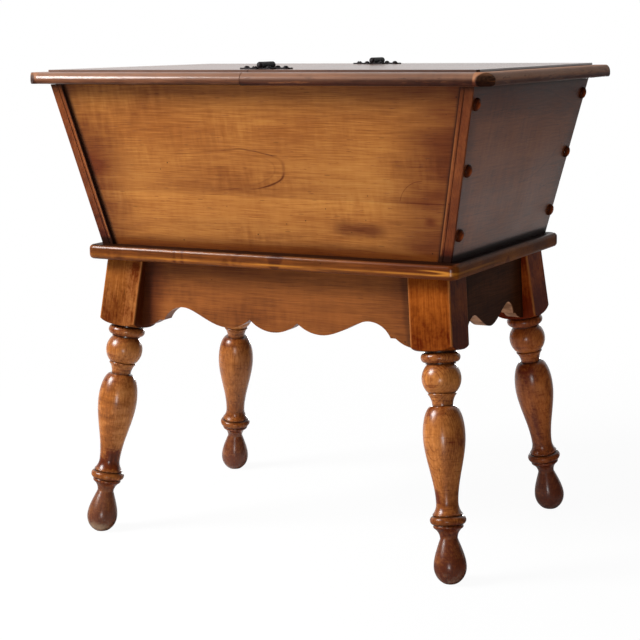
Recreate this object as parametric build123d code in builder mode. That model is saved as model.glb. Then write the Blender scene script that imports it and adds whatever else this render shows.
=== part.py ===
from build123d import *
from math import cos, radians, sqrt, tan
import os

# A lidded dough-box side table in the early American style: a bin of canted boards under a split
# top, standing on a moulded platform, scalloped aprons and four splayed turned legs.
# All sizes are in millimetres. The origin is on the floor under the middle. +X runs along the
# length, with the hinged half of the top on the -X side, and the front faces -Y.

# Top
top_length = 610.0
top_depth = 430.0
top_height = 585.0  # floor to the flat field of the top
top_thickness = 17.5
step_inset = 21.0  # from the outer edge to the small step round the field
step_height = 2.6
nose_top_radius = 9.0
nose_bottom_radius = 4.0
corner_clip = 15.5  # taken off both edges at each outer corner
seam_gap = 0.8  # between the two halves
lid_rest_gap = 1.0  # between the lid and the boards under it

# Bin
end_overhang = 26.0  # top beyond the end boards
side_overhang = 20.0  # top beyond the end boards' long edges
board_thickness = 16.0
end_cant = 12.0  # degrees from upright
side_cant = 11.2
edge_proud = 3.5  # end boards' edges beyond the faces of the front and back boards
edge_easing = 1.5
bead_offset = 10.2  # from the end boards' outer face to the bead line in their edges
bead_width = 1.0
bead_depth = 0.8

# Platform, which is also the bin's floor
platform_height = 369.0  # floor to its upper face
platform_thickness = 18.0
platform_lip_end = 12.6  # beyond the foot of the end boards
platform_lip_side = 16.8
platform_corner_radius = 10.0
platform_edge_radius = 5.2

# Base frame
apron_setback_end = 25.4  # from the platform's edge
apron_setback_side = 28.5
apron_thickness = 17.5
block_size = 52.0
block_length = 88.0
block_proud = 8.0  # block beyond the aprons, at the platform
block_easing = 1.6
leg_splay_end = 6.2  # degrees, seen from the front
leg_splay_side = 7.4  # degrees, seen from the end

# Scalloped lower edge of the aprons: drops are from the platform's underside
apron_lift = 1.0  # apron's ends above the underside of the blocks
bracket_width = 27.0
bracket_height = 10.0
bracket_step = 6.5
arch_drop = 58.0
lobe_drop = 79.0
cusp_drop = 67.0
centre_drop = 80.4
long_arch_share = 0.82  # of the run from the middle to the bracket's step
long_lobe_share = 0.417
long_cusp_share = 0.21
short_arch_share = 0.72
lobe_pull = 0.38  # how far the lobe stays flat, as a share of the run to the arch
arch_pull = 0.27

# Turned part of the legs, from the block down
shoulder_radius = 22.0  # where the block's rounded underside starts
shoulder_rise = 7.0  # of the underside, at the block's corners
blank_margin = 1.0  # of the round blank outside the block's corners
neck_radius = 18.0
neck_length = 2.0
upper_bead_seat = 19.6
upper_bead_radius = 23.0
upper_bead_length = 11.2
collar_radius = 17.6
collar_length = 2.0
ball_radius = 23.0
ball_length = 33.4
lip_round = 0.9  # how far the thin lips bulge past their seats
upper_lip_radius = 16.6
upper_lip_length = 2.6
upper_cove_waist = 12.0
cove_length = 12.0
vase_neck_radius = 12.5
vase_belly_radius = 24.6
vase_waist_radius = 12.9
vase_belly_share = 0.27  # of the vase's length, from its top
vase_pull = 0.33  # how far the vase runs straight at its belly and waist, as a share of the taper
flare_length = 11.5  # from the vase's waist down to the lip at its foot
vase_lip_radius = 17.6
vase_lip_length = 2.8
lower_bead_seat = 17.2
lower_bead_radius = 21.0
lower_bead_length = 10.4
lower_lip_radius = 17.6
lower_lip_length = 4.0
foot_neck_radius = 10.2
foot_length = 51.7
foot_radius = 19.1
foot_widest = 19.3  # above the floor
foot_round = 21.2  # the foot's round underside, cut off level by the floor
foot_swell_pull = 0.28  # how far the foot's neck and widest part run on, as shares of the swell
foot_belly_pull = 0.33
foot_swell_slope = 0.36  # radius gained per height at the foot's neck

# Joints of the base frame
dowel_radius = 4.0
dowel_length = 38.0
dowel_first_drop = 20.0  # from the platform's underside
dowel_pitch = 34.0
brace_thickness = 20.0
brace_height = 36.0
brace_gap = 3.0  # between a brace and the leg's inner corner
brace_screw_inset = 18.0  # from a brace's short ends

# Cleats and battens
cleat_size = 20.0
cleat_gap = 3.0
cleat_start = 6.0  # from the seam
cleat_screw_inset = 6.7  # from the cleats' inner faces
batten_width = 26.0
batten_thickness = 12.0
batten_seam_offset = 22.0  # seam to the near edge of a batten
batten_end_gap = 20.0  # room for the outer lid batten to swing clear of the end board
batten_side_gap = 8.0
pad_radius = 5.0
pad_clearance = 0.2
pad_seam_offset = 40.0
pad_edge_share = 0.8  # place along the end board, of its half depth

# Plugs over the screws of the end boards
button_radius = 7.4
button_dome = 5.0
button_rim = 1.0
plug_radius = 4.8
counterbore_depth = 9.0
plug_gap = 0.4
button_top_drop = 20.0  # below the boards' upper edge
button_foot_rise = 31.0  # above the platform

# Fasteners
frame_screw_length = 45.0
frame_screw_radius = 2.3
frame_head_radius = 4.4
frame_head_height = 2.8
light_screw_radius = 1.9
light_head_radius = 3.7
light_head_height = 2.3
tip_share = 0.18  # of a screw's length
bite_share = 0.6  # how far a light screw goes into the board it holds, as a share of the board
floor_screw_pitch = 135.0  # along the front and back boards
end_floor_screw_pitch = 136.0  # across the end boards

# Hinges
hinge_inset = 64.0  # from the top's front and back edges to the hinges' middles
knuckle_radius = 4.1
knuckle_clearance = 0.4  # above the top and between knuckles
knuckle_count = 3
knuckle_relief = 0.8  # between a leaf's edge and the other leaf's knuckles
barrel_length = 31.0
pin_radius = 1.5
pin_clearance = 0.05
pin_head_radius = 3.4
pin_head_height = 1.7
leaf_thickness = 1.5
leaf_reach = 34.5
leaf_width = 31.0
leaf_shoulder = 14.0  # seam to where the leaf starts to narrow
leaf_tongue_start = 21.0
leaf_tongue_width = 13.5
hinge_screw_tip_offset = 26.0
hinge_screw_corner_offset = 9.5
hinge_screw_corner_inset = 4.6  # from the leaf's ends
hinge_head_radius = 2.9
hinge_head_height = 2.2
hinge_screw_radius = 1.25
hinge_screw_length = 11.0

# Levels
box_top_z = top_height - top_thickness
lid_underside_z = box_top_z + lid_rest_gap
hinge_spread = top_depth - 2 * hinge_inset
frame_top_z = platform_height - platform_thickness
end_slope = tan(radians(end_cant))
side_slope = tan(radians(side_cant))
end_board_run = board_thickness / cos(radians(end_cant))  # board thickness measured level
side_board_run = board_thickness / cos(radians(side_cant))


def end_face_x(z):
    """Outer face of the end boards at height z."""
    return top_length / 2 - end_overhang - (box_top_z - z) * end_slope


def end_edge_y(z):
    """Long edges of the end boards at height z."""
    return top_depth / 2 - side_overhang - (box_top_z - z) * side_slope


def side_face_y(z):
    """Outer face of the front and back boards at height z."""
    return end_edge_y(z) - edge_proud


def end_inner_x(z):
    return end_face_x(z) - end_board_run


def side_inner_y(z):
    return side_face_y(z) - side_board_run


platform_half_length = end_face_x(platform_height) + platform_lip_end
platform_half_depth = end_edge_y(platform_height) + platform_lip_side
apron_face_x = platform_half_length - apron_setback_end
apron_face_y = platform_half_depth - apron_setback_side

# Leg axis of the front right corner
end_splay_slope = tan(radians(leg_splay_end))
side_splay_slope = tan(radians(leg_splay_side))
leg_top_x = apron_face_x + block_proud - block_size / 2 / cos(radians(leg_splay_end))
leg_top_y = apron_face_y + block_proud - block_size / 2 / cos(radians(leg_splay_side))
foot_x = leg_top_x + frame_top_z * end_splay_slope
foot_y = leg_top_y + frame_top_z * side_splay_slope
leg_stretch = sqrt(1 + end_splay_slope**2 + side_splay_slope**2)  # length per height
leg_length = frame_top_z * leg_stretch
leg_direction = Vector(-end_splay_slope, side_splay_slope, 1).normalized()
leg_plane = Plane(origin=(foot_x, -foot_y, 0), x_dir=(1, 0, 0), z_dir=leg_direction)
leg_axis = Axis(leg_plane.origin, leg_plane.z_dir)
turning_plane = Plane(origin=leg_plane.origin, x_dir=leg_plane.x_dir, z_dir=-leg_plane.y_dir)
block_start = leg_length - block_length

# Faces of the front right block that the aprons meet, their normals pointing into the block
block_side_plane = Plane(
    origin=leg_plane.origin - leg_plane.x_dir * (block_size / 2), z_dir=leg_plane.x_dir
)
block_back_plane = Plane(
    origin=leg_plane.origin + leg_plane.y_dir * (block_size / 2), z_dir=-leg_plane.y_dir
)


def block_side_x(y, z):
    """Where the block's side face stands at depth y and height z."""
    face, normal = block_side_plane.origin, block_side_plane.z_dir
    return face.X - ((y - face.Y) * normal.Y + (z - face.Z) * normal.Z) / normal.X


def block_back_y(x, z):
    """Where the block's back face stands at length x and height z."""
    face, normal = block_back_plane.origin, block_back_plane.z_dir
    return face.Y - ((x - face.X) * normal.X + (z - face.Z) * normal.Z) / normal.Y


def across(plane):
    """The same plane at the left end."""
    origin, normal = plane.origin, plane.z_dir
    return Plane(origin=(-origin.X, origin.Y, origin.Z), z_dir=(-normal.X, normal.Y, normal.Z))


def behind(plane):
    """The same plane at the back."""
    origin, normal = plane.origin, plane.z_dir
    return Plane(origin=(origin.X, -origin.Y, origin.Z), z_dir=(normal.X, -normal.Y, normal.Z))


def add_screw(head, length, radius, head_radius, head_height):
    """Adds a countersunk screw whose head lies flush in the plane head and points along -z."""
    tip = length * tip_share
    profile_plane = Plane(origin=head.origin, x_dir=head.x_dir, z_dir=-head.y_dir)
    with BuildSketch(profile_plane) as profile:
        with BuildLine():
            Polyline(
                (0, 0),
                (head_radius, 0),
                (radius, -head_height),
                (radius, tip - length),
                (0, -length),
                close=True,
            )
        make_face()
    revolve(profile.sketch.faces(), axis=Axis(head.origin, head.z_dir))


def add_frame_screw(head):
    add_screw(head, frame_screw_length, frame_screw_radius, frame_head_radius, frame_head_height)


def add_light_screw(head, length):
    add_screw(head, length, light_screw_radius, light_head_radius, light_head_height)


def upward(x, y, z):
    """A plane for a screw that is driven straight up from z."""
    return Plane(origin=(x, y, z), x_dir=(1, 0, 0), z_dir=(0, 0, -1))


def draw_top_edge(start, reach, underside):
    """Half outline of the top's section, from start out to the moulded edge at reach."""
    ledge = top_height - step_height
    Polyline(
        (start, top_height),
        (reach - step_inset, top_height),
        (reach - step_inset, ledge),
        (reach - nose_top_radius, ledge),
    )
    TangentArc(
        (reach - nose_top_radius, ledge), (reach, ledge - nose_top_radius), tangent=(1, 0)
    )
    Line((reach, ledge - nose_top_radius), (reach, underside + nose_bottom_radius))
    TangentArc(
        (reach, underside + nose_bottom_radius),
        (reach - nose_bottom_radius, underside),
        tangent=(0, -1),
    )
    Line((reach - nose_bottom_radius, underside), (start, underside))


def make_top_half(underside):
    """The right half of the top, from the seam out, with its clipped corners."""
    with BuildPart() as half:
        with BuildSketch(Plane.YZ):
            with BuildLine():
                draw_top_edge(0, top_depth / 2, underside)
                mirror(about=Plane.YZ)
            make_face()
        extrude(amount=top_length / 2)
        with BuildSketch(Plane.XZ):
            with BuildLine():
                draw_top_edge(seam_gap / 2, top_length / 2, underside)
                Line((seam_gap / 2, underside), (seam_gap / 2, top_height))
            make_face()
        extrude(amount=top_depth, both=True, mode=Mode.INTERSECT)
        clip = Plane(origin=(top_length / 2 - corner_clip, -top_depth / 2, 0), z_dir=(1, -1, 0))
        split(bisect_by=clip, keep=Keep.BOTTOM)
        split(bisect_by=behind(clip), keep=Keep.BOTTOM)
        with BuildSketch(Plane.XY.offset(top_height - step_height)):
            for side in (-1, 1):
                with Locations(((top_length - corner_clip) / 2, side * (top_depth - corner_clip) / 2)):
                    Rectangle(2 * step_inset, 2 * step_inset, rotation=45 * side)
        extrude(amount=step_height, mode=Mode.SUBTRACT)
    return half.part


# Screws through the end boards into the ends of the front and back boards, under the plugs
button_top_z = box_top_z - button_top_drop
button_foot_z = platform_height + button_foot_rise
button_heights = [button_foot_z, (button_foot_z + button_top_z) / 2, button_top_z]
end_normal = Vector(cos(radians(end_cant)), 0, -cos(radians(end_cant)) * end_slope)


def side_middle_y(z):
    """Mid-thickness of the front and back boards at height z."""
    return side_face_y(z) - side_board_run / 2


button_planes = []
for z in button_heights:
    for y in (-side_middle_y(z), side_middle_y(z)):
        button_planes.append(Plane(origin=(end_face_x(z), y, z), x_dir=(0, 1, 0), z_dir=end_normal))

with BuildPart() as right_end_screws:
    for place in button_planes:
        add_frame_screw(place.offset(-counterbore_depth))
right_end_screws.part.label = "right_end_screws"

with BuildPart() as left_end_screws:
    mirror(right_end_screws.part, about=Plane.YZ)
left_end_screws.part.label = "left_end_screws"

# Domed wooden plugs
with BuildPart() as right_end_buttons:
    for place in button_planes:
        with BuildSketch(place.offset(plug_gap - counterbore_depth)):
            Circle(plug_radius)
        extrude(amount=counterbore_depth - plug_gap)
        with BuildSketch(place):
            Circle(button_radius)
        extrude(amount=button_rim)
        dome_plane = Plane(
            origin=place.origin + place.z_dir * button_rim, x_dir=place.x_dir, z_dir=-place.y_dir
        )
        with BuildSketch(dome_plane):
            with BuildLine():
                EllipticalCenterArc((0, 0), button_radius, button_dome - button_rim, arc_size=90)
                Polyline((0, button_dome - button_rim), (0, 0), (button_radius, 0))
            make_face()
        revolve(axis=Axis(place.origin, place.z_dir))
right_end_buttons.part.label = "right_end_buttons"

with BuildPart() as left_end_buttons:
    mirror(right_end_buttons.part, about=Plane.YZ)
left_end_buttons.part.label = "left_end_buttons"

# Screws up through the platform into the bin's boards
board_bite_z = platform_height + (frame_screw_length - platform_thickness) / 2
floor_screw_y = side_middle_y(board_bite_z)
floor_screw_x = end_face_x(board_bite_z) - end_board_run / 2

with BuildPart() as floor_screws:
    for y in (-floor_screw_y, floor_screw_y):
        for x in (-floor_screw_pitch, 0, floor_screw_pitch):
            add_frame_screw(upward(x, y, frame_top_z))
    for x in (-floor_screw_x, floor_screw_x):
        for y in (-end_floor_screw_pitch / 2, end_floor_screw_pitch / 2):
            add_frame_screw(upward(x, y, frame_top_z))
floor_screws.part.label = "floor_screws"

# Cleats inside the fixed half, against the canted boards
cleat_bottom_z = box_top_z - cleat_size
cleat_side_y = side_inner_y(box_top_z) - cleat_size
cleat_end_x = end_inner_x(cleat_bottom_z) - cleat_gap
end_cleat_x = end_inner_x(box_top_z) - cleat_size
end_cleat_y = cleat_side_y - cleat_gap

cleat_screw_x = [cleat_start + cleat_size, (cleat_start + end_cleat_x) / 2, end_cleat_x - cleat_size]
cleat_screw_y = cleat_side_y + cleat_screw_inset
end_cleat_screw_x = end_cleat_x + cleat_screw_inset
cleat_screw_length = cleat_size + top_thickness * bite_share

with BuildPart() as cleat_top_screws:
    for x in cleat_screw_x:
        for y in (-cleat_screw_y, cleat_screw_y):
            add_light_screw(upward(x, y, cleat_bottom_z), cleat_screw_length)
    for y in (-end_cleat_y / 2, end_cleat_y / 2):
        add_light_screw(upward(end_cleat_screw_x, y, cleat_bottom_z), cleat_screw_length)
cleat_top_screws.part.label = "cleat_top_screws"

# Screws sideways through the cleats into the boards, between the ones that hold the top
cleat_middle_z = box_top_z - cleat_size / 2
cleat_board_screw_length = cleat_size + board_thickness * bite_share
cleat_board_screw_x = [
    (cleat_screw_x[0] + cleat_screw_x[1]) / 2,
    (cleat_screw_x[1] + cleat_screw_x[2]) / 2,
]

with BuildPart() as cleat_board_screws:
    for x in cleat_board_screw_x:
        for side in (-1, 1):
            head = Plane(
                origin=(x, side * cleat_side_y, cleat_middle_z), x_dir=(1, 0, 0), z_dir=(0, -side, 0)
            )
            add_light_screw(head, cleat_board_screw_length)
    for y in (-end_cleat_y / 4, end_cleat_y / 4):
        head = Plane(origin=(end_cleat_x, y, cleat_middle_z), x_dir=(0, 1, 0), z_dir=(-1, 0, 0))
        add_light_screw(head, cleat_board_screw_length)
cleat_board_screws.part.label = "cleat_board_screws"

with BuildPart() as front_cleat:
    with BuildSketch(Plane.YZ.offset(cleat_start)):
        with BuildLine():
            Polyline(
                (-side_inner_y(box_top_z), box_top_z),
                (-side_inner_y(cleat_bottom_z), cleat_bottom_z),
                (-cleat_side_y, cleat_bottom_z),
                (-cleat_side_y, box_top_z),
                close=True,
            )
        make_face()
    extrude(amount=cleat_end_x - cleat_start)
    add(cleat_top_screws.part, mode=Mode.SUBTRACT)
    add(cleat_board_screws.part, mode=Mode.SUBTRACT)
front_cleat.part.label = "front_cleat"

with BuildPart() as back_cleat:
    mirror(front_cleat.part, about=Plane.XZ)
back_cleat.part.label = "back_cleat"

with BuildPart() as end_cleat:
    with BuildSketch(Plane.XZ):
        with BuildLine():
            Polyline(
                (end_inner_x(box_top_z), box_top_z),
                (end_inner_x(cleat_bottom_z), cleat_bottom_z),
                (end_cleat_x, cleat_bottom_z),
                (end_cleat_x, box_top_z),
                close=True,
            )
        make_face()
    extrude(amount=end_cleat_y, both=True)
    add(cleat_top_screws.part, mode=Mode.SUBTRACT)
    add(cleat_board_screws.part, mode=Mode.SUBTRACT)
end_cleat.part.label = "end_cleat"


# Battens across the grain under both halves keep them flat
def batten_screw_places(x, half_length, z):
    """Screw planes under a batten: one in the middle and one near each end."""
    end_y = half_length - batten_width
    return [upward(x, y, z) for y in (-end_y, 0, end_y)]


batten_middle_x = batten_seam_offset + batten_width / 2
batten_screw_length = batten_thickness + top_thickness * bite_share
top_batten_bottom_z = box_top_z - batten_thickness
top_batten_half = cleat_side_y - cleat_gap

with BuildPart() as top_batten_screws:
    for place in batten_screw_places(batten_middle_x, top_batten_half, top_batten_bottom_z):
        add_light_screw(place, batten_screw_length)
top_batten_screws.part.label = "top_batten_screws"

with BuildPart() as top_batten:
    with BuildSketch(Plane.XY.offset(top_batten_bottom_z)):
        with Locations((batten_middle_x, 0)):
            Rectangle(batten_width, 2 * top_batten_half)
    extrude(amount=batten_thickness)
    add(top_batten_screws.part, mode=Mode.SUBTRACT)
top_batten.part.label = "top_batten"

lid_batten_bottom_z = lid_underside_z - batten_thickness
lid_batten_half = side_inner_y(lid_batten_bottom_z) - batten_side_gap
outer_batten_x = end_inner_x(lid_batten_bottom_z) - batten_end_gap - batten_width / 2

with BuildPart() as lid_batten_screws:
    for x in (-batten_middle_x, -outer_batten_x):
        for place in batten_screw_places(x, lid_batten_half, lid_batten_bottom_z):
            add_light_screw(place, batten_screw_length)
lid_batten_screws.part.label = "lid_batten_screws"

with BuildPart() as inner_lid_batten:
    with BuildSketch(Plane.XY.offset(lid_batten_bottom_z)):
        with Locations((-batten_middle_x, 0)):
            Rectangle(batten_width, 2 * lid_batten_half)
    extrude(amount=batten_thickness)
    add(lid_batten_screws.part, mode=Mode.SUBTRACT)
inner_lid_batten.part.label = "inner_lid_batten"

with BuildPart() as outer_lid_batten:
    with BuildSketch(Plane.XY.offset(lid_batten_bottom_z)):
        with Locations((-outer_batten_x, 0)):
            Rectangle(batten_width, 2 * lid_batten_half)
    extrude(amount=batten_thickness)
    add(lid_batten_screws.part, mode=Mode.SUBTRACT)
outer_lid_batten.part.label = "outer_lid_batten"

# Felt pads under the lid, over the boards' upper edges
pad_end_x = end_face_x(box_top_z) - end_board_run / 2
pad_end_y = side_inner_y(box_top_z) * pad_edge_share
pad_seam_y = side_middle_y(box_top_z)

with BuildPart() as lid_pads:
    with BuildSketch(Plane.XY.offset(box_top_z + pad_clearance)):
        with Locations(
            (-pad_end_x, -pad_end_y),
            (-pad_end_x, pad_end_y),
            (-pad_seam_offset, -pad_seam_y),
            (-pad_seam_offset, pad_seam_y),
        ):
            Circle(pad_radius)
    extrude(amount=lid_rest_gap - pad_clearance)
lid_pads.part.label = "lid_pads"

# Hinges: the fixed leaf holds the outer knuckles and the pin, the lid leaf the inner one
hinge_axis_z = top_height + knuckle_radius + knuckle_clearance
knuckle_pitch = barrel_length / knuckle_count
hinge_screw_spots = [
    (hinge_screw_tip_offset, 0),
    (hinge_screw_corner_offset, leaf_width / 2 - hinge_screw_corner_inset),
    (hinge_screw_corner_offset, hinge_screw_corner_inset - leaf_width / 2),
]
hinge_middles = {"front": -hinge_spread / 2, "back": hinge_spread / 2}


def make_hinge_screws(middle_y):
    """Three round-headed screws of the leaf on the +X side of the seam."""
    with BuildPart() as screws:
        for x, y in hinge_screw_spots:
            spot = (x, middle_y + y, top_height + leaf_thickness)
            with BuildSketch(Plane(origin=spot, x_dir=(1, 0, 0), z_dir=(0, -1, 0))) as profile:
                with BuildLine():
                    TangentArc((0, hinge_head_height), (hinge_head_radius, 0), tangent=(1, 0))
                    Polyline(
                        (hinge_head_radius, 0),
                        (hinge_screw_radius, 0),
                        (hinge_screw_radius, hinge_screw_length * (tip_share - 1)),
                        (0, -hinge_screw_length),
                        (0, hinge_head_height),
                    )
                make_face()
            revolve(profile.sketch.faces(), axis=Axis(spot, (0, 0, 1)))
    return screws.part


def make_leaf(middle_y, knuckles, bore_radius, screws):
    """A leaf on the +X side of the seam, with the knuckles in the given slots of the barrel."""
    with BuildPart() as leaf:
        with BuildSketch(Plane((0, middle_y, top_height))):
            with BuildLine():
                half = leaf_width / 2
                tongue = leaf_tongue_width / 2
                start = knuckle_radius + knuckle_relief
                Polyline((start, 0), (start, half), (leaf_shoulder, half))
                TangentArc((leaf_tongue_start, tongue), (leaf_shoulder, half), tangent=(-1, 0))
                Line((leaf_tongue_start, tongue), (leaf_reach - tongue, tongue))
                TangentArc((leaf_reach - tongue, tongue), (leaf_reach, 0), tangent=(1, 0))
                mirror(about=Plane.XZ)
            make_face()
        extrude(amount=leaf_thickness)
        for slot in knuckles:
            slot_y = middle_y - barrel_length / 2 + slot * knuckle_pitch
            low_y = slot_y + (knuckle_clearance / 2 if slot > 0 else 0)
            is_last = slot == knuckle_count - 1
            high_y = slot_y + knuckle_pitch - (0 if is_last else knuckle_clearance / 2)
            with BuildSketch(Plane((0, low_y, hinge_axis_z), x_dir=(1, 0, 0), z_dir=(0, 1, 0))):
                Circle(knuckle_radius)
            extrude(amount=high_y - low_y)
            with BuildSketch(Plane.XY.offset(top_height)):
                with Locations((seam_gap, low_y)):
                    Rectangle(
                        knuckle_radius + 2 * knuckle_relief,
                        high_y - low_y,
                        align=(Align.MIN, Align.MIN),
                    )
            extrude(amount=leaf_thickness)
        bore_start = middle_y - barrel_length
        with BuildSketch(Plane((0, bore_start, hinge_axis_z), x_dir=(1, 0, 0), z_dir=(0, 1, 0))):
            Circle(bore_radius)
        extrude(amount=2 * barrel_length, mode=Mode.SUBTRACT)
        add(screws, mode=Mode.SUBTRACT)
    return leaf.part


def make_pin(middle_y):
    """The pin, with a low round head at both ends of the barrel."""
    end_y = barrel_length / 2
    with BuildPart() as pin:
        middle = (0, middle_y, hinge_axis_z)
        with BuildSketch(Plane(origin=middle, x_dir=(1, 0, 0), z_dir=(0, 0, -1))):
            with BuildLine():
                Polyline((0, 0), (pin_radius, 0), (pin_radius, end_y), (pin_head_radius, end_y))
                TangentArc((0, end_y + pin_head_height), (pin_head_radius, end_y), tangent=(1, 0))
                Line((0, end_y + pin_head_height), (0, 0))
            make_face()
        revolve(axis=Axis(middle, (0, 1, 0)))
        mirror(about=Plane.XZ.offset(-middle_y))
    return pin.part


fixed_slots = range(0, knuckle_count, 2)
lid_slots = range(1, knuckle_count, 2)
hinge_pieces = []
fixed_hinge_screws = []
lid_hinge_screws = []
for side, middle_y in hinge_middles.items():
    screws = make_hinge_screws(middle_y)
    with BuildPart() as fixed_leaf:
        add(make_leaf(middle_y, fixed_slots, pin_radius, screws))
    fixed_leaf.part.label = f"{side}_hinge_fixed_leaf"
    with BuildPart() as lid_leaf:
        mirror(make_leaf(middle_y, lid_slots, pin_radius + pin_clearance, screws), about=Plane.YZ)
    lid_leaf.part.label = f"{side}_hinge_lid_leaf"
    with BuildPart() as pin:
        add(make_pin(middle_y))
    pin.part.label = f"{side}_hinge_pin"
    hinge_pieces += [fixed_leaf, lid_leaf, pin]
    fixed_hinge_screws.append(screws)
    lid_hinge_screws.append(mirror(screws, about=Plane.YZ))

with BuildPart() as hinge_fixed_screws:
    add(fixed_hinge_screws)
hinge_fixed_screws.part.label = "hinge_fixed_screws"

with BuildPart() as hinge_lid_screws:
    add(lid_hinge_screws)
hinge_lid_screws.part.label = "hinge_lid_screws"

# Top: a fixed right half, and a left half that lifts as the lid
with BuildPart() as fixed_top:
    add(make_top_half(box_top_z))
    for screws in (cleat_top_screws, top_batten_screws, hinge_fixed_screws):
        add(screws.part, mode=Mode.SUBTRACT)
fixed_top.part.label = "fixed_top"

with BuildPart() as lid:
    mirror(make_top_half(lid_underside_z), about=Plane.YZ)
    for screws in (lid_batten_screws, hinge_lid_screws):
        add(screws.part, mode=Mode.SUBTRACT)
lid.part.label = "lid"

# Bead line down both edges of an end board
with BuildPart() as bead_line:
    bead_x = bead_offset / cos(radians(end_cant))
    bead_run = bead_width / cos(radians(end_cant))
    with BuildSketch(Plane.XZ):
        with BuildLine():
            Polyline(
                (end_face_x(platform_height) - bead_x, platform_height),
                (end_face_x(box_top_z) - bead_x, box_top_z),
                (end_face_x(box_top_z) - bead_x - bead_run, box_top_z),
                (end_face_x(platform_height) - bead_x - bead_run, platform_height),
                close=True,
            )
        make_face()
    extrude(amount=top_depth, both=True)
    with BuildSketch(Plane.YZ):
        with BuildLine():
            Polyline(
                (-end_edge_y(platform_height) + bead_depth, platform_height),
                (end_edge_y(platform_height) - bead_depth, platform_height),
                (end_edge_y(box_top_z) - bead_depth, box_top_z),
                (-end_edge_y(box_top_z) + bead_depth, box_top_z),
                close=True,
            )
        make_face()
    extrude(amount=top_length, both=True, mode=Mode.SUBTRACT)

# End boards, canted outwards and running past the front and back boards
with BuildPart() as right_end_board:
    with BuildSketch(Plane.XZ):
        with BuildLine():
            Polyline(
                (end_face_x(platform_height), platform_height),
                (end_face_x(box_top_z), box_top_z),
                (end_inner_x(box_top_z), box_top_z),
                (end_inner_x(platform_height), platform_height),
                close=True,
            )
        make_face()
    extrude(amount=top_depth, both=True)
    with BuildSketch(Plane.YZ):
        with BuildLine():
            Polyline(
                (-end_edge_y(platform_height), platform_height),
                (end_edge_y(platform_height), platform_height),
                (end_edge_y(box_top_z), box_top_z),
                (-end_edge_y(box_top_z), box_top_z),
                close=True,
            )
        make_face()
    extrude(amount=top_length, both=True, mode=Mode.INTERSECT)
    outer_face = faces().filter_by(lambda face: face.normal_at().X > 0.9)
    fillet(outer_face.edges().filter_by(Axis.Y, reverse=True), radius=edge_easing)
    add(bead_line.part, mode=Mode.SUBTRACT)
    for place in button_planes:
        with BuildSketch(place.offset(-counterbore_depth)):
            Circle(plug_radius)
        extrude(amount=counterbore_depth + board_thickness, mode=Mode.SUBTRACT)
    add(right_end_screws.part, mode=Mode.SUBTRACT)
    add(floor_screws.part, mode=Mode.SUBTRACT)
    add(cleat_board_screws.part, mode=Mode.SUBTRACT)
right_end_board.part.label = "right_end_board"

with BuildPart() as left_end_board:
    mirror(right_end_board.part, about=Plane.YZ)
left_end_board.part.label = "left_end_board"

# Front and back boards, between the end boards
with BuildPart() as front_board:
    with BuildSketch(Plane.YZ):
        with BuildLine():
            Polyline(
                (-side_face_y(platform_height), platform_height),
                (-side_face_y(box_top_z), box_top_z),
                (-side_inner_y(box_top_z), box_top_z),
                (-side_inner_y(platform_height), platform_height),
                close=True,
            )
        make_face()
    extrude(amount=top_length, both=True)
    with BuildSketch(Plane.XZ):
        with BuildLine():
            Polyline(
                (-end_inner_x(platform_height), platform_height),
                (end_inner_x(platform_height), platform_height),
                (end_inner_x(box_top_z), box_top_z),
                (-end_inner_x(box_top_z), box_top_z),
                close=True,
            )
        make_face()
    extrude(amount=top_depth, both=True, mode=Mode.INTERSECT)
    for screws in (right_end_screws, left_end_screws, floor_screws, cleat_board_screws):
        add(screws.part, mode=Mode.SUBTRACT)
front_board.part.label = "front_board"

with BuildPart() as back_board:
    mirror(front_board.part, about=Plane.XZ)
back_board.part.label = "back_board"

# Braces across the inside corners of the base frame: plan outline of the front right one
apron_inner_x = apron_face_x - apron_thickness
apron_inner_y = apron_face_y - apron_thickness
leg_corner_sum = block_side_x(-leg_top_y, frame_top_z) - block_back_y(leg_top_x, frame_top_z)
brace_outer_sum = leg_corner_sum - brace_gap * sqrt(2)
brace_inner_sum = brace_outer_sum - brace_thickness * sqrt(2)
brace_middle_sum = (brace_outer_sum + brace_inner_sum) / 2
brace_bottom_z = frame_top_z - brace_height
brace_screw_shift = brace_screw_inset / sqrt(2)
brace_screw_spots = [
    (apron_inner_x - brace_screw_shift, apron_inner_x - brace_screw_shift - brace_middle_sum),
    (brace_middle_sum - apron_inner_y + brace_screw_shift, brace_screw_shift - apron_inner_y),
]

with BuildPart() as brace_screws:
    for x, y in brace_screw_spots:
        for side_x in (-1, 1):
            for side_y in (-1, 1):
                add_frame_screw(upward(side_x * x, side_y * y, brace_bottom_z))
brace_screws.part.label = "brace_screws"

with BuildPart() as front_right_brace:
    with BuildSketch(Plane.XY.offset(brace_bottom_z)):
        with BuildLine():
            Polyline(
                (apron_inner_x, apron_inner_x - brace_outer_sum),
                (apron_inner_x, apron_inner_x - brace_inner_sum),
                (brace_inner_sum - apron_inner_y, -apron_inner_y),
                (brace_outer_sum - apron_inner_y, -apron_inner_y),
                close=True,
            )
        make_face()
    extrude(amount=brace_height)
    add(brace_screws.part, mode=Mode.SUBTRACT)

# Platform
with BuildPart() as platform:
    with BuildSketch(Plane.XY.offset(frame_top_z)):
        RectangleRounded(2 * platform_half_length, 2 * platform_half_depth, platform_corner_radius)
    extrude(amount=platform_thickness)
    rims = faces().filter_by(Axis.Z).edges()
    fillet(rims, radius=platform_edge_radius)
    add(floor_screws.part, mode=Mode.SUBTRACT)
    add(brace_screws.part, mode=Mode.SUBTRACT)
platform.part.label = "platform"

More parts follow.
